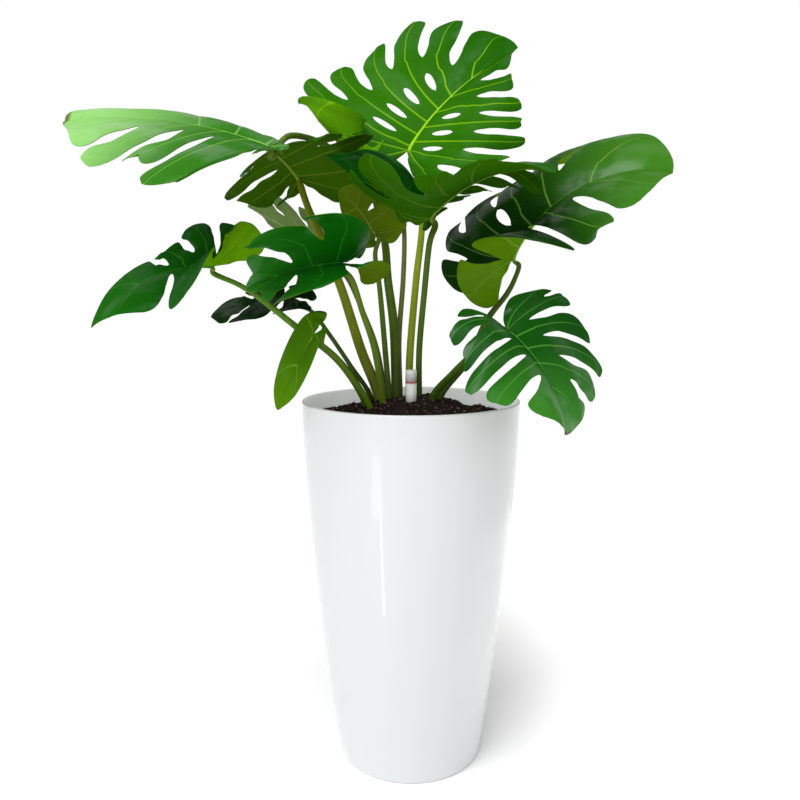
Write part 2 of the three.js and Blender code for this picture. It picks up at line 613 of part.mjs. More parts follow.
const plant = new THREE.Group();
plant.add(part('pot', potGeometry(), PLANTER_WHITE, 0.15));
plant.add(part('separator', plateGeometry(), 0x3a3d3f, 0.6));
plant.add(part('gauge_tube', gaugeGeometry(), 0xf3f3f1, 0.3));
plant.add(part('gauge_float', floatGeometry(), 0xd8442c, 0.5));
plant.add(part('gauge_ring_upper', ringGeometry(RING_HEIGHTS[0]), 0xb8343c, 0.5));
plant.add(part('gauge_ring_lower', ringGeometry(RING_HEIGHTS[1]), 0xb8343c, 0.5));

const soilCutters = [gaugeHole(GAUGE_RADIUS + HOLE_CLEARANCE)];
Object.entries(LEAVES).forEach(([name, leaf], i) => {
  const frames = midribFrames(leaf);
  plant.add(part(`${name}_blade`, bladeGeometry(leaf, frames), LEAF_GREENS[i % LEAF_GREENS.length], 0.4));
  plant.add(part(`${name}_stalk`, stalkGeometry(leaf, 0), STALK_GREEN, 0.5));
  soilCutters.push(solidOf(stalkGeometry(leaf, HOLE_CLEARANCE)));
});
plant.add(part('soil', soilGeometry(soilCutters), SOIL_BROWN, 0.95));

export default plant;
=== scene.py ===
"""A potted monstera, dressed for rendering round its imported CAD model.

Lengths in the tables are millimetres, in the row frame: +X right, +Y back, +Z up, origin at the middle
of the planter's underside. Meshes are in metres.
"""

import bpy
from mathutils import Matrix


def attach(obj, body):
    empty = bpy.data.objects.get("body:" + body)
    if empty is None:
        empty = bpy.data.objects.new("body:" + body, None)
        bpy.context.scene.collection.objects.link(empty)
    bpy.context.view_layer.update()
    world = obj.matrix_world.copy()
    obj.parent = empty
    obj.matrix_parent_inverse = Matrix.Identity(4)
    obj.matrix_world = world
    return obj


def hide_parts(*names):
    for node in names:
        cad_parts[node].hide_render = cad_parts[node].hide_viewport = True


bl_info = {
    "name": "Potted Monstera",
    "version": (1, 0, 0),
    "blender": (4, 5, 0),
    "location": "3D View > Sidebar > Plant",
    "description": "Split-leaf plant with thirteen leaves in a tall planter with a water gauge",
    "category": "Object",
}

import bpy
import numpy as np
from bpy.props import FloatProperty, FloatVectorProperty, IntProperty, PointerProperty

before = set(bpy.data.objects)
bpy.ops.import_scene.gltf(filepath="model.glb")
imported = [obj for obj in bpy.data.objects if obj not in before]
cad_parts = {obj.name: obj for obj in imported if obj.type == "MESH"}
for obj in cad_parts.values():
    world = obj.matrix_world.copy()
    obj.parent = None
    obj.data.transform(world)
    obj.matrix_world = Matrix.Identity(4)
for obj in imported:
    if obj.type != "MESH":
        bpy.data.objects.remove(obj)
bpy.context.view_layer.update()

DEG = np.pi / 180.0
MM = 0.001

# One entry a leaf. at: where the stalk meets the blade. heading, pitch, roll: how the blade lies there,
# in degrees. length: stalk to tip; width: half width over length. droop, curl, sweep, twist: how the
# midrib bends on the way to the tip. Pairs are for the left and the right half: back is the bend of the
# lobes behind the stalk, cup the rise of the half from the midrib, fall its bend to the edge, fold the
# extra rise at the base. reach is the length of each lobe from the base to the tip, cut how near each
# split comes to the midrib, holes the splits that also have a hole near the midrib, tip the share of
# the last lobe, gap the width of the splits. rolls are the lobes of the left half that roll up: the share
# of the lobe where the roll starts, its radius, and how much longer the lobe is than the flat one. root,
# stalk, via: where the stalk leaves the soil, its radius at both ends and the points that it passes.
PLAIN_LEAF = {"curl": 0, "gap": 0.3, "holes": [[], []], "rolls": {}}
LEAVES = {
    "leaf_01": dict(
        PLAIN_LEAF, at=[-3, 95, 1142], heading=35, pitch=57, roll=-16, length=274, width=0.82, droop=11,
        sweep=-45, twist=20, back=[13, 37], cup=[25, 12], fall=[5, 11], fold=[21, -5], tip=0.2, gap=0.35,
        holes=[[3, 4, 5, 6], [2, 3, 4]], rolls={0: (0.6, 20.0, 1.16), 1: (0.6, 20.0, 1.16)},
        reach=[[1.08, 1.25, 1.22, 1.14, 1.1, 1.24, 1.1, 0.99],
               [0.97, 1.16, 1.21, 1.13, 1.17, 1.09, 0.99]],
        cut=[[0.9, 0.75, 0.6, 0.55, 0.6, 0.55, 0.35], [0.6, 0.55, 0.55, 0.55, 0.45, 0.4]], root=[-3, 20],
        stalk=[8, 5], via=[[-1, 24, 769], [10, 36, 898], [21, 50, 1000], [17, 72, 1084]]),
    "leaf_02": dict(
        PLAIN_LEAF, at=[-222, -170, 1099], heading=172, pitch=22, roll=42, length=294, width=0.69,
        droop=9, sweep=30, twist=6, back=[-45, -20], cup=[32, -6], fall=[13, 85], fold=[3, 0], tip=0.25,
        reach=[[0.5, 1.66, 1.42, 1.02, 1.3, 1.2], [0.3, 0.25, 0.38, 0.58, 1.2]],
        cut=[[0.3, 1, 0.3, 0.3, 0.4], [0.5, 0.5, 0.6, 0.72]], root=[-27, 12], stalk=[10, 5],
        via=[[-31, 30, 806], [-43, 70, 899], [-51, 110, 980], [-83, 150, 1089], [-152, 90, 1145],
             [-204, -62, 1137]]),
    "leaf_03": dict(
        PLAIN_LEAF, at=[-216, 110, 1093], heading=253, pitch=22, roll=-22, length=204, width=0.67,
        droop=42, sweep=3, twist=-7, back=[9, 30], cup=[-3, -1], fall=[10, 23], fold=[-17, -30], tip=0.2,
        reach=[[1.6, 1.1, 1.28, 0.95, 0.95], [0.5, 0.77, 0.99, 0.95]],
        cut=[[0.9, 0.8, 0.45, 0.5], [0.3, 0.15, 0.4]], root=[-57, -5], stalk=[11, 6],
        via=[[-92, 10, 770], [-129, 45, 880], [-168, 80, 974], [-196, 100, 1036]]),
    "leaf_04": dict(
        PLAIN_LEAF, at=[32, -35, 1004], heading=-50, pitch=34, roll=-41, length=235, width=0.76, droop=57,
        curl=0.5, sweep=5, twist=6, back=[38, -70], cup=[7, 12], fall=[60, -36], fold=[13, 30], tip=0.2,
        reach=[[0.98, 0.84, 0.71, 0.76, 1.18, 1.02], [0.95, 1.09, 1.22, 0.68, 0.78, 1.02]],
        cut=[[0.4, 0.4, 0.3, 0.3, 0.4], [0.8, 0.5, 0.45, 0.8, 0.9]], root=[15, -8], stalk=[6, 5],
        via=[[15, -14, 772], [23, -28, 872], [31, -45, 957]]),
    "leaf_05": dict(
        PLAIN_LEAF, at=[185, 20, 934], heading=-25, pitch=67, roll=-31, length=313, width=0.71, droop=71,
        sweep=-20, twist=5, back=[-2, 68], cup=[44, 4], fall=[53, 23], fold=[24, 59], tip=0.3,
        holes=[[2, 3], []], reach=[[1.23, 1.12, 1.08, 1.06, 1.22, 1.07], [0.8, 1, 0.88, 1.07]],
        cut=[[0.5, 0.55, 0.4, 0.4, 0.25], [0.15, 0.3, 0.25]], root=[52, 5], stalk=[8, 4],
        via=[[106, 12, 751], [142, 30, 824], [178, 36, 871], [193, 30, 902]]),
    "leaf_06": dict(
        PLAIN_LEAF, at=[-336, -90, 919], heading=210, pitch=1, roll=35, length=241, width=0.5, droop=65,
        sweep=3, twist=-22, back=[0, 0], cup=[7, 7], fall=[29, 24], fold=[80, 26], tip=0.45,
        reach=[[1.3, 0.85, 0.69], [1.26, 0.85, 0.5, 0.69]], cut=[[0.15, 0.2], [0.25, 0.35, 0.2]],
        root=[-80, -28], stalk=[8, 4],
        via=[[-127, -45, 752], [-195, -60, 810], [-257, -75, 862], [-293, -85, 887]]),
    "leaf_07": dict(
        PLAIN_LEAF, at=[154, -150, 814], heading=-48, pitch=-27, roll=-2, length=197, width=0.83,
        droop=48, sweep=6, twist=32, back=[-31, 11], cup=[18, 17], fall=[10, 54], fold=[18, 21], tip=0.25,
        gap=0.34, reach=[[1.25, 0.91, 0.93, 1.18, 1.04, 0.99], [0.95, 1, 0.85, 1.04, 1.06, 0.99]],
        cut=[[0.8, 0.3, 0.25, 0.3, 0.4], [0.4, 0.5, 0.25, 0.2, 0.3]], root=[38, -25], stalk=[8, 4],
        via=[[72, -50, 730], [114, -85, 777], [135, -110, 795]]),
    "leaf_08": dict(
        PLAIN_LEAF, at=[-114, -120, 923], heading=223, pitch=-1, roll=62, length=192, width=0.42,
        droop=83, sweep=1, twist=18, back=[85, 48], cup=[38, 50], fall=[-31, -37], fold=[13, 6], tip=0.33,
        reach=[[1.2, 1.32, 0.5], [0.8, 1.6, 1.37, 0.5]], cut=[[0.3, 0.2], [1, 0.4, 0.2]], root=[-50, -48],
        stalk=[7, 4], via=[[-64, -70, 776], [-85, -90, 845], [-100, -105, 895]]),
    "leaf_09": dict(
        PLAIN_LEAF, at=[-70, 55, 985], heading=245, pitch=39, roll=-55, length=134, width=0.53, droop=8,
        sweep=-21, twist=-8, back=[35, 40], cup=[-4, -10], fall=[49, 59], fold=[-12, 1], tip=0.4,
        reach=[[1.22, 0.92, 0.83], [0.62, 0.83]], cut=[[1, 0.2], [0.5]], root=[-40, -22], stalk=[6, 4],
        via=[[-47, -10, 771], [-57, 15, 880], [-66, 40, 944]]),
    "leaf_10": dict(
        PLAIN_LEAF, at=[-163, -130, 805], heading=140, pitch=-49, roll=79, length=146, width=0.3,
        droop=-9, sweep=24, twist=-3, back=[40, 40], cup=[13, 11], fall=[21, 20], fold=[2, 2], tip=0.6,
        reach=[[0.77, 1], [1.11, 1]], cut=[[1], [1]], root=[-72, -55], stalk=[6, 3.5],
        via=[[-104, -66, 726], [-129, -84, 763], [-151, -104, 786]]),
    "leaf_11": dict(
        PLAIN_LEAF, at=[-217, 15, 865], heading=169, pitch=-2, roll=29, length=167, width=0.34, droop=21,
        sweep=-1, twist=4, back=[40, 40], cup=[9, 10], fall=[23, 22], fold=[0, 0], tip=0.3,
        reach=[[1, 1.08, 0.99], [1, 1.01, 0.99]], cut=[[0.2, 0.2], [0.2, 0.2]], root=[-72, 22],
        stalk=[5, 3.5], via=[[-113, 20, 741], [-150, 18, 797], [-182, 15, 840]]),
    "leaf_12": dict(
        PLAIN_LEAF, at=[-178, 188, 958], heading=164, pitch=36, roll=-33, length=185, width=0.43,
        droop=11, sweep=-4, twist=11, back=[40, 40], cup=[15, 14], fall=[7, 17], fold=[1, 0], tip=0.3,
        reach=[[1, 1.17, 1.13, 0.91], [1, 1.04, 0.91]], cut=[[0.4, 0.4, 0.4], [0.4, 0.4]], root=[-50, 30],
        stalk=[6, 4], via=[[-64, 55, 767], [-94, 100, 842], [-130, 140, 910]]),
    "leaf_13": dict(
        PLAIN_LEAF, at=[-14, 10, 1050], heading=162, pitch=54, roll=-65, length=141, width=0.6, droop=90,
        sweep=24, twist=6, back=[-32, -32], cup=[4, 20], fall=[64, -4], fold=[0, 0], tip=0.5,
        reach=[[1, 1.1], [0.96, 1.1]], cut=[[1], [1]], root=[-20, 42], stalk=[6, 4],
        via=[[-22, 52, 786], [-14, 64, 899], [-12, 68, 988]]),
}

# Colours, red, green and blue of 255: upper face by the stalk and at the tip, underside, stalk and
# midrib. Then the gloss of the upper face and the thickness of the midrib. The two upper colours differ
# by painted light and shade: mostly painted shade by the stalk and a painted sheen towards the tip. The
# underside colour is partly its own green and partly painted light: bright yellow-green where light
# shines through the leaf, dark olive where the leaf is in shade.
LEAF_COLOURS = {
    "leaf_01": ((44, 110, 8), (26, 90, 4), (90, 152, 10), (140, 158, 30), (150, 206, 20), 0.3, 1.9),
    "leaf_02": ((46, 116, 16), (142, 202, 112), (60, 112, 14), (84, 110, 22), (140, 200, 84), 0.9, 1.0),
    "leaf_03": ((36, 90, 14), (36, 90, 14), (60, 102, 6), (116, 128, 20), (130, 156, 44), 0.5, 1.3),
    "leaf_04": ((34, 98, 14), (30, 90, 10), (46, 98, 2), (72, 98, 20), (100, 136, 36), 0.5, 1.2),
    "leaf_05": ((8, 52, 4), (58, 118, 26), (84, 126, 4), (66, 90, 20), (118, 166, 54), 0.8, 1.0),
    "leaf_06": ((12, 78, 6), (22, 94, 8), (96, 150, 4), (78, 120, 20), (60, 124, 30), 0.35, 1.0),
    "leaf_07": ((16, 76, 12), (54, 126, 34), (62, 114, 12), (60, 90, 18), (84, 154, 54), 0.9, 1.2),
    "leaf_08": ((12, 92, 8), (40, 108, 28), (88, 116, 14), (90, 116, 20), (40, 136, 34), 0.7, 1.0),
    "leaf_09": ((32, 84, 12), (32, 84, 12), (92, 120, 16), (78, 102, 20), (124, 148, 50), 0.4, 1.0),
    "leaf_10": ((60, 106, 4), (78, 126, 6), (88, 134, 12), (90, 120, 22), (116, 158, 44), 0.4, 0.8),
    "leaf_11": ((8, 36, 6), (16, 46, 12), (30, 60, 12), (64, 90, 20), (50, 90, 36), 0.5, 0.9),
    "leaf_12": ((54, 86, 34), (54, 86, 34), (98, 122, 66), (96, 108, 56), (140, 154, 110), 0.3, 0.9),
    "leaf_13": ((6, 72, 6), (8, 80, 8), (10, 86, 6), (112, 114, 56), (50, 112, 26), 0.7, 1.0),
}

# leaves whose tips are dry and brown
DRY_TIPS = ("leaf_02", "leaf_06", "leaf_07")
DRY_BROWN = (0.1, 0.06, 0.015, 1.0)
KNEE_COLOUR = (150, 140, 50)

STALK_FOOT = 600.0        # the stalks stand this high above the base, under the soil
STALK_SIDES = 16
STALK_STEPS = 12          # steps between two points of the stalk's line, and of the midrib's
RIB_STEPS = 10
STALK_GROOVE = 0.14       # depth of the groove along the stalk, in its radii
KNEE_BACK = 16.0          # the stalk bends into the blade this far behind it
KNEE_DOWN = 5.0
KNEE_SWELL = 0.16         # share by which the stalk is thicker there
# the midrib's line passes points at these shares of the blade's length
RIB_SHARES = (0.045, 0.12, 0.25, 0.4, 0.55, 0.7, 0.83, 0.97)
RIB_TAPER = 0.88          # share of its radius that the midrib loses on the way

BLADE_SECTOR = 168.0      # degrees from the tip round to the basal edge
BLADE_HALF = 0.53         # half width of the flat outline, in blade lengths
MIDRIB_REACH = 1.1        # the line of the midrib is worked out this many lengths far
STATIONS = 24
HOLE_MIDDLE = 0.25        # holes near the midrib, in shares of the way to the edge and lobe widths
HOLE_HALF_LENGTH = 0.1
HOLE_HALF_WIDTH = 0.16
# rows near the lobes' round ends, and columns from a lobe's vein to its side
LAST_ROWS = (0.955, 0.97, 0.98, 0.989, 0.995, 1.0)
HALF_LOBE = (0.025, 0.055, 0.11, 0.2, 0.34, 0.52, 0.7, 0.86, 1)
FREE_RUN = 0.3            # a lobe's side comes free over this share past the end of its split
VEIN_WIDTH = 1.7          # a side vein is VEIN_LEAST wide, and this much wider at the midrib
VEIN_LEAST = 0.25
VEIN_SINK = 0.5           # depth of a vein on the upper face
VEIN_RISE = 0.9           # ridge of a vein on the underside

FILLET_STEPS = 6          # of every rounded corner
OUTER_ROUNDING = 2.6      # of the planter's rim
INNER_ROUNDING = 2.4
FOOT_ROUNDING = 5.0
INNER_GLOW_BASE = 12.0        # above this height the planter's inner faces get the lighter white that glows: painted light
GAUGE_PLACE = (0.0, -38.0)
GAUGE_BASE = 14.0
GAUGE_SIDES = 48
CAP_THICKNESS = 4.0
CAP_ROUNDING = 2.5
GROOVE_DEPTH = 1.2
RING_HEIGHT = 3.0
RING_HEIGHTS = (714.0, 668.0)
SOIL_GAP = 1.3            # between the soil and the planter's wall
NOISE_CELLS = 64

# The stage, in metres and watts. Each lamp has its name, place, size and power.
FLOOR_HALF = 14.0
SKY_STRENGTH = 0.52
AIM = (0.0, 0.0, 0.75)    # the next three lamps point here
LAMPS = (("key", (-1.6, -1.9, 2.4), (1.3, 1.3), 9.0), ("right fill", (2.4, -1.6, 1.5), (1.2, 1.2), 5.0),
         ("front", (-0.6, -3.0, 1.2), (3.0, 1.6), 16.0))
# two strips on the floor in front give the long narrow reflections on the planter's side
STRIPS = (("near strip", (-0.49, -0.84, 0.01), (0.03, 0.66), 0.28),
          ("far strip", (-0.98, -1.42, 0.01), (0.30, 0.9), 1.2))
# a wide lamp low over the floor on the right keeps the planter's shadow there pale
WASH = ("floor wash", (0.74, 0.5, 0.5), (0.9, 1.5), 1.8)


# ---------------- settings

def size_property(name, description, default):
    return FloatProperty(name=name, description=description, default=default, unit="LENGTH")


def colour_property(name, description, default):
    return FloatVectorProperty(name=name, description=description, default=default, subtype="COLOR",
                               min=0.0, max=1.0)


class PlanterSettings(bpy.types.PropertyGroup):
    height: size_property("Height", "Height of the planter", 0.68)
    rim_radius: size_property("Rim radius", "Outer radius at the top", 0.2)
    base_radius: size_property("Base radius", "Outer radius at the foot", 0.135)
    side_curve: FloatProperty(name="Side curve", description="How the side leans in towards the base",
                              default=1.5)
    wall: size_property("Wall", "Thickness of the wall", 0.006)
    floor: size_property("Floor", "Thickness of the floor", 0.008)
    segments: IntProperty(name="Segments", description="Faces round the planter", default=160)
    colour: colour_property("Colour", "Glazed white of the shell", (0.6, 0.618, 0.622))
    # a lighter white than the shell's: painted light on the inner wall
    lit_inner_colour: colour_property("Inner colour", "White of the inner wall", (0.93, 0.945, 0.955))


class SoilSettings(bpy.types.PropertyGroup):
    edge_height: size_property("Edge height", "Height of the soil at the wall", 0.645)
    heap: size_property("Heap", "Rise of the soil in the middle", 0.037)
    heap_radius: size_property("Heap radius", "Radius of the heap", 0.105)
    low: size_property("Underside", "Height of the soil's underside", 0.1173)
    crumbs: IntProperty(name="Crumbs", description="Number of dark crumbs", default=2600)
    barks: IntProperty(name="Bark chips", description="Number of reddish bark chips", default=520)
    chips: IntProperty(name="Light chips", description="Number of light chips", default=150)
    colour: colour_property("Colour", "Dark potting soil", (0.018, 0.013, 0.012))
    bark_colour: colour_property("Bark", "Reddish bark", (0.17, 0.062, 0.046))
    chip_colour: colour_property("Chips", "Light chips", (0.42, 0.34, 0.26))


class GaugeSettings(bpy.types.PropertyGroup):
    radius: size_property("Radius", "Outer radius of the gauge tube", 0.01)
    bore: size_property("Bore", "Inner radius of the gauge tube", 0.0065)
    top: size_property("Top", "Height of the gauge's top", 0.738)
    colour: colour_property("Colour", "White of the gauge", (0.83, 0.83, 0.81))
    ring_colour: colour_property("Ring", "Red of the rings", (0.55, 0.05, 0.06))


class LeafSettings(bpy.types.PropertyGroup):
    thickness: size_property("Thickness", "Thickness of the blade", 0.0012)
    rows: IntProperty(name="Rows", description="Cells from the midrib to the edge", default=44)
    pucker: size_property("Pucker", "Rise of the blade between its veins", 0.0016)
    droop: size_property("Lobe droop", "Fall of the free sides of a lobe", 0.0034)
    wave: size_property("Wave", "Wave of the free sides", 0.0018)
    rib_radius: size_property("Rib radius", "Radius of the midrib at the stalk", 0.0032)
    mottle: FloatProperty(name="Mottle", description="How much the green varies", default=0.35)


def srgb(colour):
    """Linear colour of red, green and blue of 255."""
    c = np.array(colour, float) / 255.0
    return tuple(np.where(c <= 0.04045, c / 12.92, ((c + 0.055) / 1.055) ** 2.4))


def mixed(a, b, share):
    """Colour a with a share of colour b."""
    return tuple((1 - share) * u + share * w for u, w in zip(a, b))


# ---------------- meshes

def mesh_object(name, vertices, triangles, material, replaced=(), attributes=None, sharp=None):
    """An object of the plant from arrays of points in millimetres and of triangles.

    attributes maps a name to one number a vertex; sharp holds pairs of vertices whose edge is sharp.
    """
    mesh = bpy.data.meshes.new(name)
    mesh.vertices.add(len(vertices))
    mesh.vertices.foreach_set("co", (np.asarray(vertices) * MM).astype(np.float32).ravel())
    mesh.loops.add(triangles.size)
    mesh.loops.foreach_set("vertex_index", triangles.astype(np.int32).ravel())
    mesh.polygons.add(len(triangles))
    mesh.polygons.foreach_set("loop_start", np.arange(0, triangles.size, 3, dtype=np.int32))
    mesh.update(calc_edges=True)
    mesh.polygons.foreach_set("use_smooth", np.ones(len(triangles), bool))
    for key, values in (attributes or {}).items():
        layer = mesh.attributes.new(key, "FLOAT", "POINT")
        layer.data.foreach_set("value", np.asarray(values, np.float32))
    if sharp is not None:
        ends = np.empty(2 * len(mesh.edges), np.int32)
        mesh.edges.foreach_get("vertices", ends)
        ends = np.sort(ends.reshape(-1, 2), axis=1).astype(np.int64)
        wanted = np.sort(np.asarray(sharp, np.int64), axis=1)
        size = len(vertices)
        found = np.isin(ends[:, 0] * size + ends[:, 1], wanted[:, 0] * size + wanted[:, 1])
        layer = mesh.attributes.new("sharp_edge", "BOOLEAN", "EDGE")
        layer.data.foreach_set("value", found)
    mesh.validate()
    piece = bpy.data.objects.new(name, mesh)
    bpy.context.scene.collection.objects.link(piece)
    piece.data.materials.append(material)
    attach(piece, "root")
    if replaced:
        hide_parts(*replaced)
    return piece


def grid_triangles(rows, columns, closed=False):
    """Two triangles for each cell of a grid of points, row after row; a closed grid joins its last column
    to its first."""
    i, j = np.meshgrid(np.arange(rows - 1), np.arange(columns if closed else columns - 1), indexing="ij")
    k = (j + 1) % columns
    a, b, c, d = i * columns + j, i * columns + k, (i + 1) * columns + k, (i + 1) * columns + j
    return np.concatenate([np.stack([a, b, c], -1).reshape(-1, 3), np.stack([a, c, d], -1).reshape(-1, 3)])


def welded(points, triangles):
    """Points closer than a hundredth of a millimetre as one, without the triangles that this flattens.
    Returns the points, the triangles and the first old number of each new point."""
    keys = np.round(points * 100.0).astype(np.int64)
    _, first, inverse = np.unique(keys, axis=0, return_index=True, return_inverse=True)
    triangles = inverse.reshape(-1)[triangles]
    a, b, c = triangles.T
    return points[first], triangles[(a != b) & (b != c) & (c != a)], first


def turned(profile, segments, centre=(0.0, 0.0)):
    """Surface of revolution: the profile's radius and height, turned about Z in equal steps. Its ends
    lie on the axis, or it is a closed ring."""
    profile = np.asarray(profile, float)
    angle = np.arange(segments) * 2 * np.pi / segments
    radius, height = profile[:, :1], profile[:, 1:]
    points = np.stack([centre[0] + radius * np.cos(angle), centre[1] + radius * np.sin(angle),
                       np.broadcast_to(height, (len(profile), segments))], -1).reshape(-1, 3)
    points, triangles, _ = welded(points, grid_triangles(len(profile), segments, closed=True))
    return points, triangles


def fillet(corner, start, end, radius):
    """Points of a rounded corner: on a quadratic curve from a point on the first side, past the corner,
    to a point on the second side."""
    corner, start, end = (np.array(p, float) for p in (corner, start, end))
    a = corner + (start - corner) / np.linalg.norm(start - corner) * radius
    b = corner + (end - corner) / np.linalg.norm(end - corner) * radius
    t = np.linspace(0, 1, FILLET_STEPS + 1)[:, None]
    return (1 - t) ** 2 * a + 2 * t * (1 - t) * corner + t * t * b


def curve_points(points, count):
    """A Catmull-Rom curve through the points, with count + 1 points of equal parameter steps."""
    p = np.asarray(points, float)
    q = np.vstack([2 * p[0] - p[1], p, 2 * p[-1] - p[-2]])
    t = np.linspace(0, len(p) - 1, count + 1)
    i = np.minimum(t.astype(int), len(p) - 2)
    f = (t - i)[:, None]
    a, b, c, d = q[i], q[i + 1], q[i + 2], q[i + 3]
    return 0.5 * (2 * b + (c - a) * f + (2 * a - 5 * b + 4 * c - d) * f ** 2
                  + (3 * b - a - 3 * c + d) * f ** 3)


def swept(path, radii, sides):
    """Tube with a shallow groove: a circle of the given radius at each point of the path, square to it
    and carried along it without turning, with a bell-shaped dent at angle 0."""
    ahead = np.gradient(path, axis=0)
    ahead /= np.linalg.norm(ahead, axis=1, keepdims=True)
    spokes = np.empty_like(path)
    spoke = np.array([0.0, -1.0, 0.15])
    for k in range(len(path)):
        spoke = spoke - ahead[k] * (spoke @ ahead[k])
        spoke = spoke / np.linalg.norm(spoke)
        spokes[k] = spoke
    across = np.cross(ahead, spokes)
    angle = np.arange(sides) * 2 * np.pi / sides
    scale = 1 - STALK_GROOVE * np.exp(-(((angle + np.pi) % (2 * np.pi) - np.pi) / 0.5) ** 2)
    ring = spokes[:, None] * (np.cos(angle) * scale)[None, :, None]
    ring = ring + across[:, None] * (np.sin(angle) * scale)[None, :, None]
    points = (path[:, None] + ring * radii[:, None, None]).reshape(-1, 3)
    triangles = grid_triangles(len(path), sides, closed=True)
    last = len(points)
    points = np.vstack([points, path[:1], path[-1:]])
    k = np.arange(sides)
    start = np.stack([np.full(sides, last), (k + 1) % sides, k], -1)
    far = (len(path) - 1) * sides
    end = np.stack([np.full(sides, last + 1), far + k, far + (k + 1) % sides], -1)
    return points, np.concatenate([triangles, start, end])


def smooth_noise(x, y, seed, cell):
    """Smooth noise from 0 to 1: random values on a square grid, mixed with an S-shaped weight."""
    table = np.random.default_rng(seed).random((NOISE_CELLS, NOISE_CELLS))

    def corner(a, b):
        return table[a % NOISE_CELLS, b % NOISE_CELLS]

    u, v = x / cell + 31.7, y / cell + 31.3
    i, j = np.floor(u).astype(int), np.floor(v).astype(int)
    f, g = u - i, v - j
    f, g = f * f * (3 - 2 * f), g * g * (3 - 2 * g)
    low = corner(i, j) * (1 - f) + corner(i + 1, j) * f
    high = corner(i, j + 1) * (1 - f) + corner(i + 1, j + 1) * f
    return low * (1 - g) + high * g


# ---------------- shader groups and materials

def new_group(name, inputs, outputs):
    """A node group whose inputs are named with their defaults; of its outputs only Color is a colour."""
    tree = bpy.data.node_groups.new(name, "ShaderNodeTree")
    for label, default in inputs.items():
        kind = "NodeSocketColor" if isinstance(default, tuple) else "NodeSocketFloat"
        socket = tree.interface.new_socket(name=label, in_out="INPUT", socket_type=kind)
        socket.default_value = default
    for label in outputs:
        kind = "NodeSocketColor" if label == "Color" else "NodeSocketFloat"
        tree.interface.new_socket(name=label, in_out="OUTPUT", socket_type=kind)
    return tree, tree.nodes.new("NodeGroupInput").outputs, tree.nodes.new("NodeGroupOutput").inputs


def attribute(tree, name):
    node = tree.nodes.new("ShaderNodeAttribute")
    node.attribute_name = name
    return node.outputs["Fac"]


def feed(tree, *pairs):
    """Each socket gets its value: a link from another socket, or a number or colour of its own."""
    for socket, value in pairs:
        if hasattr(value, "links"):
            tree.links.new(value, socket)
        else:
            socket.default_value = value


def calculation(tree, operation, a, b):
    node = tree.nodes.new("ShaderNodeMath")
    node.operation = operation
    feed(tree, (node.inputs[0], a), (node.inputs[1], b))
    return node.outputs[0]


def times(tree, a, b):
    return calculation(tree, "MULTIPLY", a, b)


def plus(tree, a, b):
    return calculation(tree, "ADD", a, b)


def minus(tree, a, b):
    return calculation(tree, "SUBTRACT", a, b)


def ramp(tree, value, low, high, start=0.0, end=1.0):
    """Smooth step of value from low to high, as a number from start to end."""
    node = tree.nodes.new("ShaderNodeMapRange")
    node.interpolation_type = "SMOOTHSTEP"
    values = {"Value": value, "From Min": low, "From Max": high, "To Min": start, "To Max": end}
    feed(tree, *((node.inputs[label], given) for label, given in values.items()))
    return node.outputs["Result"]


def blend(tree, factor, a, b):
    """Colour a, or colour b where the factor is 1."""
    node = tree.nodes.new("ShaderNodeMix")
    node.data_type = "RGBA"
    feed(tree, (node.inputs[0], factor), (node.inputs[6], a), (node.inputs[7], b))
    return node.outputs[2]


def noise(tree, scale, detail=2.0, vector=None):
    """Noise on the object's own coordinates, or on the given ones."""
    node = tree.nodes.new("ShaderNodeTexNoise")
    if vector is None:
        vector = tree.nodes.new("ShaderNodeTexCoord").outputs["Object"]
    feed(tree, (node.inputs["Scale"], scale), (node.inputs["Detail"], detail),
         (node.inputs["Vector"], vector))
    return node.outputs["Fac"]


def toned(tree, colour, value):
    """The colour made lighter or darker by value."""
    node = tree.nodes.new("ShaderNodeHueSaturation")
    feed(tree, (node.inputs["Color"], colour), (node.inputs["Value"], value))
    return node.outputs[0]


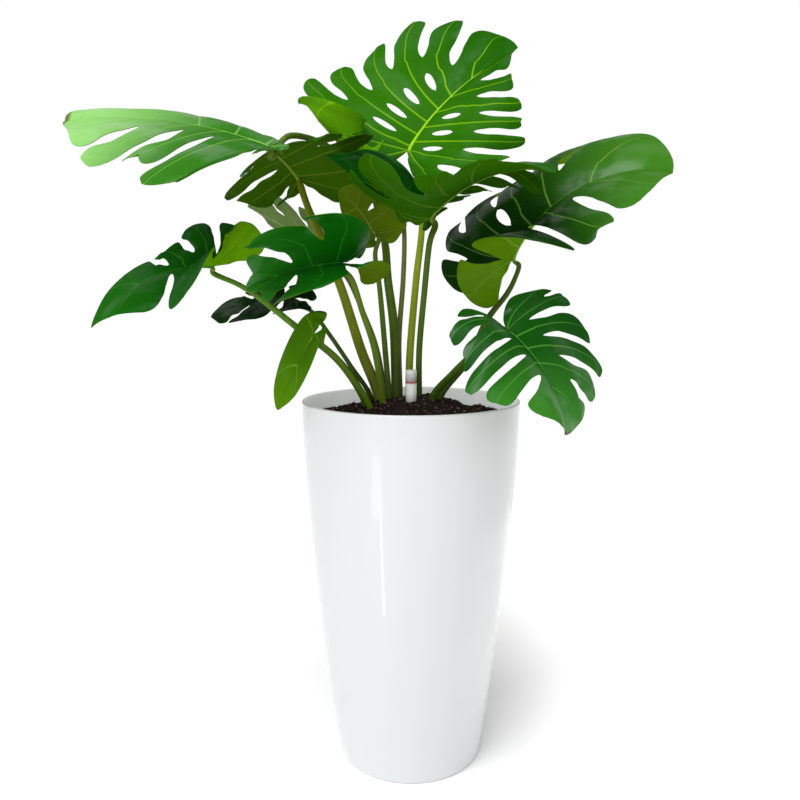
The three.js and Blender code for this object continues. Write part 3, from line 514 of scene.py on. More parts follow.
def leaf_group():
    """Blade colours: green that varies, pale veins, fine side veins, and another green underneath. The upper
    green runs from the colour by the stalk to the colour at the tip, and that change is painted light and
    shade; the underside's green holds painted light as well.
    """
    tree, given, out = new_group(
        "Leaf Tissue",
        {"Near With Painted Light": (0.03, 0.2, 0.02, 1.0), "Far With Painted Light": (0.03, 0.2, 0.02, 1.0), "Under": (0.05, 0.1, 0.01, 1.0),
         "Vein": (0.2, 0.5, 0.1, 1.0), "Under Vein": (0.2, 0.3, 0.05, 1.0), "Mottle": 0.35, "Gloss": 0.5,
         "Dry Tip": 0.0},
        ("Color", "Coat", "Height"))
    under = attribute(tree, "under")
    vein = ramp(tree, attribute(tree, "vein"), 0.45, 1.5, 1.0, 0.0)
    side = calculation(tree, "PINGPONG", times(tree, attribute(tree, "feather"), 0.16), 0.5)
    side = ramp(tree, side, 0.0, 0.1, 1.0, 0.0)
    broad = noise(tree, 14.0, 3.0)
    fine = noise(tree, 90.0)
    lift = times(tree, minus(tree, broad, 0.5), given["Mottle"])
    lift = plus(tree, lift, times(tree, minus(tree, fine, 0.5), 0.16))
    # painted light and shade: the upper face turns from the colour by the stalk to the one at the tip
    upper = blend(tree, ramp(tree, attribute(tree, "reached"), 0.2, 1.0), given["Near With Painted Light"], given["Far With Painted Light"])
    # the underside colour is partly its own green and partly painted light
    tissue = blend(tree, under, upper, given["Under"])
    veins = blend(tree, under, given["Vein"], given["Under Vein"])
    colour = blend(tree, times(tree, side, 0.13), toned(tree, tissue, plus(tree, lift, 1.0)), veins)
    colour = blend(tree, times(tree, vein, 0.8), colour, veins)
    dry = times(tree, ramp(tree, attribute(tree, "end"), -0.035, -0.01), given["Dry Tip"])
    colour = blend(tree, dry, colour, DRY_BROWN)
    shine = times(tree, ramp(tree, broad, 0.44, 0.62, 0.12, 0.85), given["Gloss"])
    coat = times(tree, shine, minus(tree, 1.0, times(tree, under, 0.85)))
    height = minus(tree, times(tree, fine, 0.25), times(tree, side, 0.6))
    feed(tree, (out["Color"], colour), (out["Coat"], coat), (out["Height"], height))
    return tree


def stalk_group():
    """Stalk colours along its length: the stalk's green, a paler corky knee, then the midrib."""
    tree, given, out = new_group(
        "Stalk Skin", {"Stalk": (0.1, 0.2, 0.03, 1.0), "Knee": (0.2, 0.2, 0.05, 1.0),
                       "Rib": (0.2, 0.4, 0.1, 1.0)}, ("Color", "Height"))
    along = attribute(tree, "along")
    stretch = tree.nodes.new("ShaderNodeMapping")
    feed(tree, (stretch.inputs["Scale"], (90.0, 90.0, 6.0)),
         (stretch.inputs["Vector"], tree.nodes.new("ShaderNodeTexCoord").outputs["Object"]))
    streak = noise(tree, 1.0, 2.0, stretch.outputs["Vector"])
    foot = ramp(tree, along, 0.0, 0.45, 0.62, 1.0)
    skin = toned(tree, given["Stalk"], times(tree, foot, plus(tree, times(tree, streak, 0.7), 0.65)))
    knee = times(tree, ramp(tree, along, 0.93, 0.955), ramp(tree, along, 1.0, 1.03, 1.0, 0.0))
    colour = blend(tree, times(tree, knee, 0.7), skin, given["Knee"])
    colour = blend(tree, ramp(tree, along, 0.99, 1.04), colour, given["Rib"])
    wrinkle = times(tree, knee, noise(tree, 400.0, 1.0))
    feed(tree, (out["Color"], colour), (out["Height"], plus(tree, wrinkle, times(tree, streak, 0.5))))
    return tree


def grit_group():
    """Soil: a dark colour broken up by grains, with reddish flecks."""
    tree, given, out = new_group(
        "Soil Grit", {"Soil": (0.02, 0.015, 0.012, 1.0), "Fleck": (0.1, 0.04, 0.03, 1.0)},
        ("Color", "Height"))
    grain = noise(tree, 260.0, 3.0)
    patch = noise(tree, 120.0)
    grains = toned(tree, given["Soil"], plus(tree, times(tree, grain, 1.8), 0.1))
    colour = blend(tree, ramp(tree, patch, 0.6, 0.72, 0.0, 0.7), grains, given["Fleck"])
    feed(tree, (out["Color"], colour), (out["Height"], grain))
    return tree


def plain_material(name, colour, roughness, coat=0.0, coat_roughness=0.03, specular=0.5, glow=0.0):
    """A material of one colour; glow is the strength of white light that it gives off."""
    material = bpy.data.materials.new(name)
    material.use_nodes = True
    inputs = material.node_tree.nodes["Principled BSDF"].inputs
    values = {"Base Color": (*colour, 1.0), "Roughness": roughness, "Specular IOR Level": specular,
              "Coat Weight": coat, "Coat Roughness": coat_roughness, "Emission Color": (1.0, 1.0, 1.0, 1.0),
              "Emission Strength": glow}
    for label, value in values.items():
        inputs[label].default_value = value
    return material


def group_material(name, group, values, coat, coat_roughness, bump, distance):
    """A material whose colour, height and, if the group gives one, coat come from a group."""
    material = plain_material(name, (0.5, 0.5, 0.5), 0.6, coat, coat_roughness, 0.0)
    tree = material.node_tree
    shader = tree.nodes["Principled BSDF"]
    node = tree.nodes.new("ShaderNodeGroup")
    node.node_tree = group
    for label, value in values.items():
        node.inputs[label].default_value = (*value, 1.0) if hasattr(value, "__len__") else value
    tree.links.new(node.outputs["Color"], shader.inputs["Base Color"])
    if "Coat" in node.outputs:
        tree.links.new(node.outputs["Coat"], shader.inputs["Coat Weight"])
    relief = tree.nodes.new("ShaderNodeBump")
    relief.inputs["Strength"].default_value = bump
    relief.inputs["Distance"].default_value = distance
    tree.links.new(node.outputs["Height"], relief.inputs["Height"])
    tree.links.new(relief.outputs["Normal"], shader.inputs["Normal"])
    return material


# ---------------- leaf form

def blade_axes(leaf):
    """Directions along the midrib, out of the upper face and to the left half, where the stalk meets it."""
    heading, pitch, roll = (leaf[key] * DEG for key in ("heading", "pitch", "roll"))
    along = np.array([np.cos(pitch) * np.cos(heading), np.cos(pitch) * np.sin(heading), np.sin(pitch)])
    face = np.array([-np.sin(pitch) * np.cos(heading), -np.sin(pitch) * np.sin(heading), np.cos(pitch)])
    side = np.cross(face, along)
    return along, face * np.cos(roll) + side * np.sin(roll), side * np.cos(roll) - face * np.sin(roll)


def midrib_frames(leaf):
    """Point, along, face and side at even stations from the stalk on, on a line that bends down by
    droop, aside by sweep and about itself by twist, each in degrees a length."""
    along, face, side = blade_axes(leaf)
    step = MIDRIB_REACH * leaf["length"] / STATIONS
    point = np.zeros(3)
    frames = [(point, along, face, side)]
    for i in range(STATIONS):
        s = MIDRIB_REACH * (i + 0.5) / STATIONS
        dip = leaf["droop"] * DEG / leaf["length"] * (1 + leaf["curl"] * (2 * s - 1)) * step
        yaw, roll = (leaf[key] * DEG / leaf["length"] * step for key in ("sweep", "twist"))
        ahead = along - dip * face + yaw * side
        raised = face + dip * along + roll * side
        ahead = ahead / np.linalg.norm(ahead)
        raised = raised - ahead * (raised @ ahead)
        raised = raised / np.linalg.norm(raised)
        point = point + (along + ahead) * step / 2
        along, face, side = ahead, raised, np.cross(raised, ahead)
        frames.append((point, along, face, side))
    return [np.array([f[k] for f in frames]) for k in range(4)]


def frames_at(frames, distance, length):
    """Frames mixed linearly between the two stations next to each distance."""
    t = np.clip(distance / (MIDRIB_REACH * length) * STATIONS, 0, STATIONS - 1e-6)
    i = t.astype(int)
    f = (t - i)[..., None]
    return [a[i] * (1 - f) + a[i + 1] * f for a in frames]


def on_blade(leaf, frames, half, x, b):
    """Points x along the midrib and b out from it, and the directions out of the upper face. Lobes
    behind the stalk bend on a circle by back; across, the half starts at the angle cup (plus fold near
    the base) and bends on a circle by fall."""
    k = 0 if half > 0 else 1
    centre, along, face, side = frames_at(frames, x, leaf["length"])
    bend = leaf["back"][k] * DEG / (0.3 * leaf["length"]) or 1e-7
    angle = bend * np.minimum(x, 0.0)
    centre = centre + along * (np.sin(angle) / bend)[..., None] \
        - face * ((1 - np.cos(angle)) / bend)[..., None]
    face = face * np.cos(angle)[..., None] + along * np.sin(angle)[..., None]
    q = np.clip((x / leaf["length"] + 0.1) / 0.5, 0, 1)
    rise = (leaf["cup"][k] + leaf["fold"][k] * (1 - q * q * (3 - 2 * q))) * DEG
    fall = leaf["fall"][k] * DEG / (0.5 * leaf["length"]) or 1e-7
    slope = rise - fall * b
    out = (np.sin(rise) - np.sin(slope)) / fall
    height = (np.cos(slope) - np.cos(rise)) / fall
    normal = face * np.cos(slope)[..., None] - side * (half * np.sin(slope))[..., None]
    point = np.array(leaf["at"], float) + centre + side * (half * out)[..., None] + face * height[..., None]
    return point, normal / np.linalg.norm(normal, axis=-1, keepdims=True)


def flat_point(leaf, w, v, reach):
    """Flat blade: w goes round the outline from the basal edge to the tip, v from the midrib out on a
    quadratic curve that leaves the midrib further on for a later w."""
    turn = BLADE_SECTOR * DEG * (1 - w)
    lengthwise = np.where(turn < np.pi / 2, 0.10, 0.13) * np.cos(turn) ** 2
    radius = BLADE_HALF + lengthwise + 0.05 * np.exp(-(turn / (11 * DEG)) ** 2)
    edge_x, edge_b = 0.37 + radius * np.cos(turn), radius * np.sin(turn)
    start = 0.80 * np.clip((w - 0.24) / 0.76, 0, 1) ** 1.15
    dx, db = (edge_x - start) * reach, edge_b * reach
    bow = 0.12 * np.minimum((1 - w) / 0.15, 1)
    x = (1 - v) ** 2 * start + 2 * v * (1 - v) * (start + 0.5 * dx - bow * db) + v * v * (start + dx)
    b = 2 * v * (1 - v) * (0.5 * db + bow * dx) + v * v * db
    return x * leaf["length"], b * leaf["width"] * leaf["length"] / BLADE_HALF


def quarter_round(x):
    """Fall of a quarter circle below its top."""
    return 1 - np.sqrt(1 - 0.999 * x * x)


def half_gap(leaf, cuts, holes, edge, count, v, rounding):
    """Half the width of the split at an edge between two lobes, in lobe widths: an ellipse where the
    edge has a hole, and past the cut a slit with a round inner end, narrower again towards the rim."""
    rim = quarter_round(np.clip((v - 0.82) / 0.18, 0, 1))
    if edge == 0:
        return 0.3 * rim
    if edge == count:
        return np.zeros_like(v)
    cut = cuts[edge - 1]
    x = np.clip((v - cut) / max(1 - cut, 1e-6), 0, 1)
    slit = leaf["gap"] * 0.5 * np.sqrt(np.minimum(x / 0.3, 1)) * (1 - 0.4 * x)
    gap = np.where(x > 0, slit + rounding * rim, 0.0)
    if edge in holes:
        across = np.clip(1 - ((v - HOLE_MIDDLE) / HOLE_HALF_LENGTH) ** 2, 0, 1)
        gap = np.maximum(gap, HOLE_HALF_WIDTH * np.sqrt(across))
    return gap


def rolled(points, normals, shares, start, radius, weight):
    """The end of a lobe rolled up: past its start each column turns towards its normal on a circle,
    less where its weight is lower."""
    row = int(np.searchsorted(shares, start))
    ahead = points[row] - points[row - 1]
    ahead = ahead / np.linalg.norm(ahead, axis=-1, keepdims=True)
    steps = np.linalg.norm(np.diff(points[row:], axis=0), axis=-1)
    along = np.vstack([np.zeros(points.shape[1]), np.cumsum(steps, axis=0)])
    bend = np.maximum(weight, 1e-4) / radius
    turn = along * bend
    moved = points.copy()
    moved[row:] += ahead * (np.sin(turn) / bend - along)[..., None] \
        + normals[row] * ((1 - np.cos(turn)) / bend)[..., None]
    return moved


def leaf_sheet(leaf, frames, half, settings, seed):
    """Upper face of half a blade: each lobe is a grid across it and out from the midrib. The form gets a
    sunk vein down each lobe, a pucker between veins, sides that droop where they are free, and a wave.
    Returns the points, the triangles and the marks for the material."""
    k = 0 if half > 0 else 1
    reach, cuts, holes = leaf["reach"][k], leaf["cut"][k], leaf["holes"][k]
    count = len(reach)
    edges = np.append(np.arange(count) / (count - 1) * (1 - leaf["tip"]), 1.0)
    middles = (edges[1:] + edges[:-1]) / 2
    rng = np.random.default_rng(seed)
    rows = settings.rows * (2 if leaf["holes"][0] else 1)
    v = np.append(np.linspace(0, 0.94, rows), LAST_ROWS)
    q = np.concatenate([-np.array(HALF_LOBE[::-1]), [0], HALF_LOBE])
    vein = len(HALF_LOBE)
    pucker, droop, wave = (1000 * a for a in (settings.pucker, settings.droop, settings.wave))
    parts = []
    offset = 0
    for i in range(count):
        share = min(edges[i + 1] - edges[i], 0.2)
        gap_low = half_gap(leaf, cuts, holes, i, count, v, 0.36)
        gap_high = half_gap(leaf, cuts, holes, i + 1, count, v, 0.14)
        low, high = edges[i] + gap_low * share, edges[i + 1] - gap_high * share
        u = (q + 1) / 2
        w = low[:, None] * (1 - u) + high[:, None] * u
        vv = np.broadcast_to(v[:, None], w.shape)
        roll = leaf["rolls"].get(i) if half > 0 else None
        length = np.interp(w, middles, reach)
        weight = np.ones(len(q)) if i == 0 else (1 - q) / 2
        if roll:
            length = length * (1 + (roll[2] - 1) * weight)
        x, b = flat_point(leaf, w, vv, length)
        points, normals = on_blade(leaf, frames, half, x, b)
        spread = np.linalg.norm(points[:, -1] - points[:, 0], axis=-1)[:, None]
        near = [cuts[i - 1] if i > 0 else 0.0, cuts[i] if i < count - 1 else 1.0]
        free = [np.clip((v - c) / FREE_RUN, 0, 1)[:, None] if c < 1 else np.zeros((len(v), 1)) for c in near]
        open_side = np.where(q < 0, free[0], free[1])
        phase = rng.random(4) * 2 * np.pi
        strength = 0.6 + 0.8 * rng.random(3)
        vein_size = VEIN_WIDTH * (1 - 0.8 * vv) + VEIN_LEAST
        distance = np.abs(q) * spread / 2
        swell = np.sin(np.pi * np.clip(vv, 0, 1) ** 0.8) * np.minimum(spread / 40.0, 1.0)
        lift = pucker * (1 - np.exp(-(q / 0.35) ** 2)) * swell
        lift = lift - VEIN_SINK * np.exp(-(distance / vein_size) ** 2) * (1 - 0.7 * vv)
        lift = lift - droop * strength[0] * q ** 2 * open_side * np.minimum(spread / 30.0, 1.2)
        ripple = np.sin(vv * 9 + phase[0] + 1.5 * q) + 0.6 * np.sin(vv * 17 + phase[1] - q)
        lift = lift + wave * strength[1] * ripple * np.abs(q) ** 1.5 * open_side
        points = points + normals * lift[..., None]
        if roll:
            points = rolled(points, normals, v, roll[0], roll[1], weight)
        marks = {
            "vein": distance / vein_size,
            "feather": vv * np.linalg.norm(points[-1, vein] - points[0, vein]) - 0.9 * distance,
            "ridge": np.exp(-(distance / (0.8 * vein_size)) ** 2) * (1 - 0.75 * vv),
            "reached": x / leaf["length"],
            "end": x / leaf["length"] - 0.8 - 0.25 * reach[-1],
        }
        parts.append((points.reshape(-1, 3), grid_triangles(len(v), len(q)) + offset,
                      {key: value.reshape(-1) for key, value in marks.items()}))
        offset += points.size // 3
    points = np.concatenate([p[0] for p in parts])
    triangles = np.concatenate([p[1] for p in parts])
    marks = {key: np.concatenate([p[2][key] for p in parts]) for key in parts[0][2]}
    if half < 0:
        triangles = triangles[:, ::-1]
    points, triangles, first = welded(points, triangles)
    return points, triangles, {key: value[first] for key, value in marks.items()}


def closed_blade(points, triangles, marks, thickness):
    """A sheet with a thickness: the same face again underneath, moved along the smooth normals and
    swollen at the veins, and a wall along each free edge."""
    size = len(points)
    a, b, c = (points[triangles[:, k]] for k in range(3))
    facing = np.cross(b - a, c - a)
    normals = np.zeros_like(points)
    for k in range(3):
        np.add.at(normals, triangles[:, k], facing)
    normals /= np.maximum(np.linalg.norm(normals, axis=1, keepdims=True), 1e-9)
    lower = points - normals * (thickness + VEIN_RISE * marks["ridge"])[:, None]
    edges = np.concatenate([triangles[:, [0, 1]], triangles[:, [1, 2]], triangles[:, [2, 0]]])
    key = edges[:, 0] * size + edges[:, 1]
    free = edges[~np.isin(key, edges[:, 1] * size + edges[:, 0])]
    p, r = free[:, 0], free[:, 1]
    walls = np.concatenate([np.stack([p, p + size, r + size], -1), np.stack([p, r + size, r], -1)])
    faces = np.concatenate([triangles, triangles[:, ::-1] + size, walls])
    sharp = np.concatenate([free, free + size])
    doubled = {name: np.concatenate([values, values]) for name, values in marks.items()}
    doubled["under"] = np.concatenate([np.zeros(size), np.ones(size)])
    return np.concatenate([points, lower]), faces, doubled, sharp


def leaf_blade(leaf, settings, seed):
    """Both halves of a blade, each a closed sheet."""
    frames = midrib_frames(leaf)
    halves = [closed_blade(*leaf_sheet(leaf, frames, half, settings, seed + i), settings.thickness * 1000)
              for i, half in enumerate((1, -1))]
    size = len(halves[0][0])
    points = np.concatenate([h[0] for h in halves])
    faces = np.concatenate([halves[0][1], halves[1][1] + size])
    sharp = np.concatenate([halves[0][3], halves[1][3] + size])
    marks = {key: np.concatenate([h[2][key] for h in halves]) for key in halves[0][2]}
    return points, faces, marks, sharp


def leaf_stalk(leaf, settings, soil, rib_size):
    """One tube: the stalk on a smooth curve through its points, bent at the knee into the midrib, which
    runs on under the blade and thins out. Its mark runs from 0 at the soil to 1 at the knee and 2 at the
    tip."""
    along, face, _ = blade_axes(leaf)
    frames = midrib_frames(leaf)
    joint = np.array(leaf["at"], float)
    x, y = leaf["root"]
    up = [[x, y, STALK_FOOT], [x, y, soil_surface(soil, np.hypot(x, y))], *leaf["via"],
          joint - KNEE_BACK * face - KNEE_DOWN * along, joint - 4.5 * face - 0.5 * along]
    centre, _, out, _ = frames_at(frames, np.array(RIB_SHARES) * leaf["length"], leaf["length"])
    rib = joint + centre - out * np.linspace(1.6, 0.9, len(RIB_SHARES))[:, None]
    # parameter steps are even between the points, so the knee is where the first part ends
    knee = len(up) - 1
    path = curve_points(np.vstack([up, rib]), STALK_STEPS * knee + RIB_STEPS * len(rib))
    t = np.linspace(0, knee + len(rib), len(path))
    stalk_share = np.clip(t / knee, 0, 1)
    rib_share = np.clip((t - knee) / len(rib), 0, 1)
    low, high = leaf["stalk"]
    radii = low + (high - low) * np.minimum(1.25 * stalk_share, 1)
    radii = radii * (1 + KNEE_SWELL * np.exp(-((t - (knee - 1.1)) / 0.5) ** 2))
    rib_radii = settings.rib_radius * 1000 * rib_size * (1 - RIB_TAPER * rib_share ** 0.8)
    mix = np.clip((t - (knee - 0.6)) / 0.9, 0, 1)
    mix = mix * mix * (3 - 2 * mix)
    points, faces = swept(path, radii * (1 - mix) + rib_radii * mix, STALK_SIDES)
    mark = stalk_share + rib_share
    mark = np.append(np.repeat(mark, STALK_SIDES), [mark[0], mark[-1]])
    return points, faces, {"along": mark}


# ---------------- planter and soil form

def side_radius(planter, z):
    """Outer radius of the planter at a height: base + (rim - base) (1 - (1 - z / height) ^ curve)."""
    height, rim, base = (1000 * a for a in (planter.height, planter.rim_radius, planter.base_radius))
    return base + (rim - base) * (1 - (1 - z / height) ** planter.side_curve)


def soil_surface(soil, r):
    """Height of the soil at a distance from the middle: edge + heap / (1 + (r / radius) ^ 4)."""
    return 1000 * soil.edge_height + 1000 * soil.heap / (1 + (r / (1000 * soil.heap_radius)) ** 4)


def soil_lumps(x, y):
    """Rise and fall of the soil's top: three sizes of smooth noise about their middle."""
    return sum(rise * (smooth_noise(x, y, seed, cell) - 0.5)
               for rise, seed, cell in ((9, 3, 26), (5, 4, 9), (2.4, 5, 3.6)))


def scattered(count, sizes, seed, reach, soil):
    """Bits on the ground: eight-sided lumps, each stretched by its own three lengths, turned at random
    and set down by a seeded draw with more of them near the middle."""
    rng = np.random.default_rng(seed)
    corner = np.array([[1, 0, 0], [0, 1, 0], [-1, 0, 0], [0, -1, 0], [0, 0, 1], [0, 0, -1]], float)
    side = np.array([[0, 1, 4], [1, 2, 4], [2, 3, 4], [3, 0, 4], [1, 0, 5], [2, 1, 5], [3, 2, 5], [0, 3, 5]])
    turn = rng.normal(size=(count, 4))
    w, x, y, z = (turn / np.linalg.norm(turn, axis=1, keepdims=True)).T
    matrix = np.stack([1 - 2 * (y * y + z * z), 2 * (x * y - z * w), 2 * (x * z + y * w),
                       2 * (x * y + z * w), 1 - 2 * (x * x + z * z), 2 * (y * z - x * w),
                       2 * (x * z - y * w), 2 * (y * z + x * w), 1 - 2 * (x * x + y * y)], -1)
    matrix = matrix.reshape(-1, 3, 3)
    size = rng.uniform(*sizes, (count, 1, 1)) * rng.uniform(0.35, 1.0, (count, 1, 3))
    shape = corner[None] * size * rng.uniform(0.75, 1.2, (count, 6, 1))
    shape = np.einsum("nij,nkj->nki", matrix, shape)
    radius = reach * rng.random(count) ** 0.6
    angle = rng.random(count) * 2 * np.pi
    x, y = radius * np.cos(angle), radius * np.sin(angle)
    ground = soil_surface(soil, np.hypot(x, y)) + soil_lumps(x, y)
    points = shape + np.column_stack([x, y, ground + rng.uniform(-0.8, 1.2, count)])[:, None]
    faces = side[None] + 6 * np.arange(count)[:, None, None]
    return points.reshape(-1, 3), faces.reshape(-1, 3)


# ---------------- operators

def add_lamp(name, kind, power, place, turn, size=None):
    """A lamp at a place, turned by Euler angles; an area lamp is a rectangle of the given size."""
    data = bpy.data.lights.new(name, kind)
    data.energy = power
    if size:
        data.shape = "RECTANGLE"
        data.size, data.size_y = size
    lamp = bpy.data.objects.new(name, data)
    lamp.location = place
    lamp.rotation_euler = turn
    bpy.context.scene.collection.objects.link(lamp)
    return lamp


def finish_node(name, material):
    """Give a mesh of the frame a material, and leave its form alone."""
    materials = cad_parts[name].data.materials
    materials.clear()
    materials.append(material)


class PLANT_OT_planter(bpy.types.Operator):
    """Build the planter's smooth shell and finish the plate over its water store"""
    bl_idname = "plant.planter"
    bl_label = "Planter"

    def execute(self, context):
        s = context.scene.plant_planter
        height, rim, base, wall = (1000 * a for a in (s.height, s.rim_radius, s.base_radius, s.wall))
        floor = 1000 * s.floor
        levels = np.linspace(5, height - 4, 60)
        outside = np.stack([side_radius(s, levels), levels], -1)
        levels = np.linspace(height - 4, floor + 6, 50)
        inside = np.stack([side_radius(s, levels) - wall, levels], -1)
        outer_corner = fillet((rim, height), (rim, 0), (0, height), OUTER_ROUNDING)
        inner_corner = fillet((rim - wall, height), (rim, height), (rim - wall, 0), INNER_ROUNDING)
        foot = fillet((base, 0), (0, 0), (base + 0.8, 9), FOOT_ROUNDING)
        well = fillet((side_radius(s, 8) - wall, floor), (side_radius(s, 12) - wall, 40), (0, floor),
                      FOOT_ROUNDING)
        profile = np.vstack([[[0, 0], [base - 40, 0], [base - 7, 0]], foot, outside[1:], outer_corner,
                             inner_corner, inside[:-1], well, [[60, floor], [0, floor]]])
        points, faces = turned(profile, s.segments)
        glossy = plain_material("Glossy White", tuple(s.colour), 0.3, 1.0, 0.04)
        shell = mesh_object("planter_shell", points, faces, glossy, ["pot"])
        # the inner wall is a lighter copy of the white that also glows a little: painted light where the
        # leaves shade the inside
        shell.data.materials.append(plain_material("Inner White Painted Light", tuple(s.lit_inner_colour), 0.5, 0.3, 0.1,
                                                   glow=0.22))
        x, y, z = points[faces].mean(axis=1).T
        glowing_inside = (np.hypot(x, y) < side_radius(s, z) - 0.7 * wall) & (z > INNER_GLOW_BASE)
        shell.data.polygons.foreach_set("material_index", glowing_inside.astype(np.int32))
        finish_node("separator", plain_material("Dark Plate", (0.04, 0.045, 0.05), 0.6))
        return {"FINISHED"}


class PLANT_OT_gauge(bpy.types.Operator):
    """Build the water gauge's tube and rings and finish its float"""
    bl_idname = "plant.gauge"
    bl_label = "Water Gauge"

    def execute(self, context):
        s = context.scene.plant_gauge
        radius, bore, top = 1000 * s.radius, 1000 * s.bore, 1000 * s.top
        groove = radius - GROOVE_DEPTH
        side = [[bore, GAUGE_BASE], [radius, GAUGE_BASE]]
        for z in sorted(RING_HEIGHTS):
            side += [[radius, z], [groove, z], [groove, z + RING_HEIGHT], [radius, z + RING_HEIGHT]]
        cap = fillet((radius, top), (radius, 0), (0, top), CAP_ROUNDING)
        under = top - CAP_THICKNESS
        profile = np.vstack([side, cap, [[0, top], [0, under], [bore, under], [bore, GAUGE_BASE]]])
        white = plain_material("Gauge White", tuple(s.colour), 0.3, 0.3, 0.1)
        red = plain_material("Ring Red", tuple(s.ring_colour), 0.5)
        points, faces = turned(profile, GAUGE_SIDES, GAUGE_PLACE)
        mesh_object("gauge_stem", points, faces, white, ["gauge_tube"])
        inner, outer = groove + 0.3, radius + 0.2
        for name, z in zip(("ring_upper", "ring_lower"), RING_HEIGHTS):
            low, high = z + 0.3, z + 2.7
            ring = [[inner, low], [outer, low], [outer, high], [inner, high], [inner, low]]
            points, faces = turned(ring, GAUGE_SIDES, GAUGE_PLACE)
            mesh_object(f"band_{name}", points, faces, red, [f"gauge_{name}"])
        finish_node("gauge_float", red)
        return {"FINISHED"}


class PLANT_OT_soil(bpy.types.Operator):
    """Build the heaped soil and scatter crumbs, bark and light chips over it"""
    bl_idname = "plant.soil"
    bl_label = "Soil"

    def execute(self, context):
        s = context.scene.plant_soil
        planter = context.scene.plant_planter
        edge, low, wall = 1000 * s.edge_height, 1000 * s.low, 1000 * planter.wall
        levels = np.linspace(low, edge, 24)
        side = np.stack([side_radius(planter, levels) - wall - SOIL_GAP, levels], -1)
        reach = side_radius(planter, edge) - wall - SOIL_GAP
        r = np.linspace(reach, 0, 96)[1:]
        profile = np.vstack([[[0, low], [70, low]], side, np.stack([r, soil_surface(s, r)], -1)])
        points, faces = turned(profile, 220)
        x, y, z = points.T
        fade = np.clip((reach - np.hypot(x, y)) / 8, 0, 1)
        points[:, 2] += (z > edge + 0.05) * fade * soil_lumps(x, y)
        dark, bark = tuple(s.colour), tuple(s.bark_colour)
        grit = group_material("Potting Soil", grit_group(), {"Soil": dark, "Fleck": bark}, 0.0, 0.9, 0.8,
                              0.002)
        mesh_object("soil_heap", points, faces, grit, ["soil"])
        kinds = (("soil_crumbs", s.crumbs, (1.2, 3.4), dark, 21),
                 ("bark_chips", s.barks, (1.4, 4.2), bark, 22),
                 ("light_chips", s.chips, (1.0, 2.6), tuple(s.chip_colour), 23))
        for name, count, sizes, colour, seed in kinds:
            points, faces = scattered(count, sizes, seed, reach - 5, s)
            bits = plain_material(name.replace("_", " ").title(), colour, 0.9)
            mesh_object(name, points, faces, bits)
        return {"FINISHED"}


class PLANT_OT_blades(bpy.types.Operator):
    """Build the thirteen leaf blades with their splits, holes and veins"""
    bl_idname = "plant.blades"
    bl_label = "Leaf Blades"

    def execute(self, context):
        settings = context.scene.plant_leaf
        tissue = leaf_group()
        for number, (name, leaf) in enumerate(LEAVES.items()):
            # near and far, the upper face's colours by the stalk and at the tip, differ by painted light and
            # shade; under holds painted light as well
            near, far, under, _, rib = (srgb(c) for c in LEAF_COLOURS[name][:5])
            points, faces, marks, sharp = leaf_blade(leaf, settings, 100 + 10 * number)
            values = {"Near With Painted Light": near, "Far With Painted Light": far, "Under": under, "Vein": mixed(near, rib, 0.65),
                      "Under Vein": mixed(under, rib, 0.55), "Mottle": settings.mottle,
                      "Gloss": LEAF_COLOURS[name][5], "Dry Tip": 0.85 if name in DRY_TIPS else 0.0}
            material = group_material(f"Blade {name[-2:]}", tissue, values, 0.4, 0.26, 0.35, 0.0006)
            mesh_object(f"{name}_lamina", points, faces, material, [f"{name}_blade"], marks, sharp)
        return {"FINISHED"}


class PLANT_OT_stalks(bpy.types.Operator):
    """Build the stalks, each with its knee and the midrib that it turns into"""
    bl_idname = "plant.stalks"
    bl_label = "Stalks"

    def execute(self, context):
        settings, soil = context.scene.plant_leaf, context.scene.plant_soil
        skin = stalk_group()
        for name, leaf in LEAVES.items():
            stalk, rib = (srgb(c) for c in LEAF_COLOURS[name][3:5])
            values = {"Stalk": stalk, "Knee": mixed(stalk, srgb(KNEE_COLOUR), 0.5), "Rib": rib}
            points, faces, marks = leaf_stalk(leaf, settings, soil, LEAF_COLOURS[name][6])
            material = group_material(f"Stalk {name[-2:]}", skin, values, 0.3, 0.35, 0.3, 0.0005)
            mesh_object(f"{name}_petiole", points, faces, material, [f"{name}_stalk"], marks)
        return {"FINISHED"}


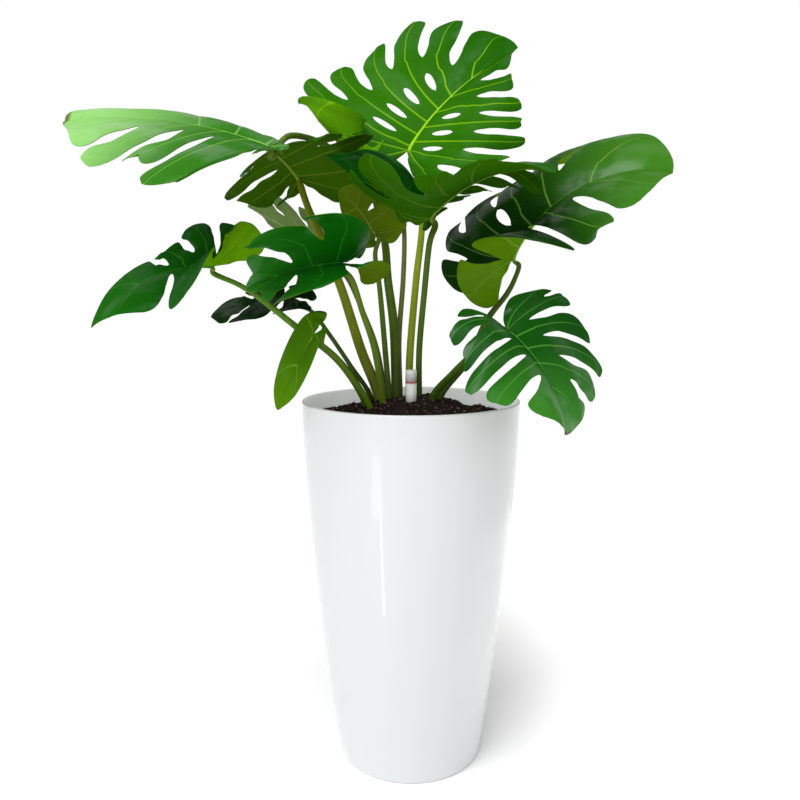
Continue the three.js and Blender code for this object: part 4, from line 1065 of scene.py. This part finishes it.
class PLANT_OT_stage(bpy.types.Operator):
    """Set up the pale floor, the soft lights and the camera"""
    bl_idname = "plant.stage"
    bl_label = "Floor, Lights and Camera"

    def execute(self, context):
        scene = context.scene
        corners = [(x * FLOOR_HALF, y * FLOOR_HALF, 0.0) for x, y in ((-1, -1), (1, -1), (1, 1), (-1, 1))]
        mesh = bpy.data.meshes.new("floor")
        mesh.from_pydata(corners, [], [(0, 1, 2, 3)])
        mesh.materials.append(plain_material("Pale Floor", (0.99, 0.99, 0.99), 0.8, specular=0.0))
        floor = bpy.data.objects.new("floor", mesh)
        scene.collection.objects.link(floor)
        sky = add_lamp("sky light", "SUN", 2.0, (0, 0, 0), (28.0 * DEG, -24.0 * DEG, 0.0))
        sky.data.angle = 50.0 * DEG
        for name, place, size, power in LAMPS:
            x, y, z = np.array(AIM) - np.array(place)
            turn = (np.arctan2(np.hypot(x, y), -z), 0.0, np.arctan2(-x, y))
            add_lamp(name, "AREA", power, place, turn, size)
        for name, place, size, power in STRIPS:
            strip = add_lamp(name, "AREA", power, place, (np.pi, 0.0, -33.0 * DEG), size)
            strip.visible_camera = False
        name, place, size, power = WASH
        wash = add_lamp(name, "AREA", power, place, (0.0, 0.0, 0.0), size)
        wash.data.spread = 50.0 * DEG
        wash.visible_camera = False
        wash.visible_glossy = False
        world = bpy.data.worlds.new("studio")
        world.use_nodes = True
        tree = world.node_tree
        strength = tree.nodes.new("ShaderNodeMapRange")
        backdrop = tree.nodes["Background"]
        feed(tree, (strength.inputs["Value"], tree.nodes.new("ShaderNodeLightPath").outputs["Is Camera Ray"]),
             (strength.inputs["To Min"], SKY_STRENGTH), (strength.inputs["To Max"], 1.0),
             (backdrop.inputs["Strength"], strength.outputs["Result"]),
             (backdrop.inputs["Color"], (1.0, 1.0, 1.0, 1.0)))
        scene.world = world
        camera = bpy.data.objects.new("camera", bpy.data.cameras.new("camera"))
        camera.data.sensor_width = 36.0
        camera.data.lens = 34.4
        camera.location = (-0.020, -1.401, 0.869)
        camera.rotation_euler = ((90.0 - 7.76) * DEG, 0.0, 0.0)
        scene.collection.objects.link(camera)
        scene.camera = camera
        scene.view_settings.view_transform = "Standard"
        return {"FINISHED"}


class PLANT_PT_sidebar(bpy.types.Panel):
    """Steps that build the plant"""
    bl_label = "Potted Monstera"
    bl_idname = "PLANT_PT_sidebar"
    bl_space_type = "VIEW_3D"
    bl_region_type = "UI"
    bl_category = "Plant"

    def draw(self, context):
        for step in STEPS:
            self.layout.operator(step.bl_idname)


STEPS = (PLANT_OT_planter, PLANT_OT_gauge, PLANT_OT_soil, PLANT_OT_blades, PLANT_OT_stalks, PLANT_OT_stage)
SETTINGS = {"plant_planter": PlanterSettings, "plant_soil": SoilSettings, "plant_gauge": GaugeSettings,
            "plant_leaf": LeafSettings}


def register():
    for cls in (*SETTINGS.values(), *STEPS, PLANT_PT_sidebar):
        bpy.utils.register_class(cls)
    for name, cls in SETTINGS.items():
        setattr(bpy.types.Scene, name, PointerProperty(type=cls))


def unregister():
    for name in SETTINGS:
        delattr(bpy.types.Scene, name)
    for cls in (PLANT_PT_sidebar, *reversed(STEPS), *reversed(list(SETTINGS.values()))):
        bpy.utils.unregister_class(cls)


def main():
    register()
    bpy.ops.plant.planter()
    bpy.ops.plant.gauge()
    bpy.ops.plant.soil()
    bpy.ops.plant.blades()
    bpy.ops.plant.stalks()
    bpy.ops.plant.stage()


if __name__ == "__main__":
    main()
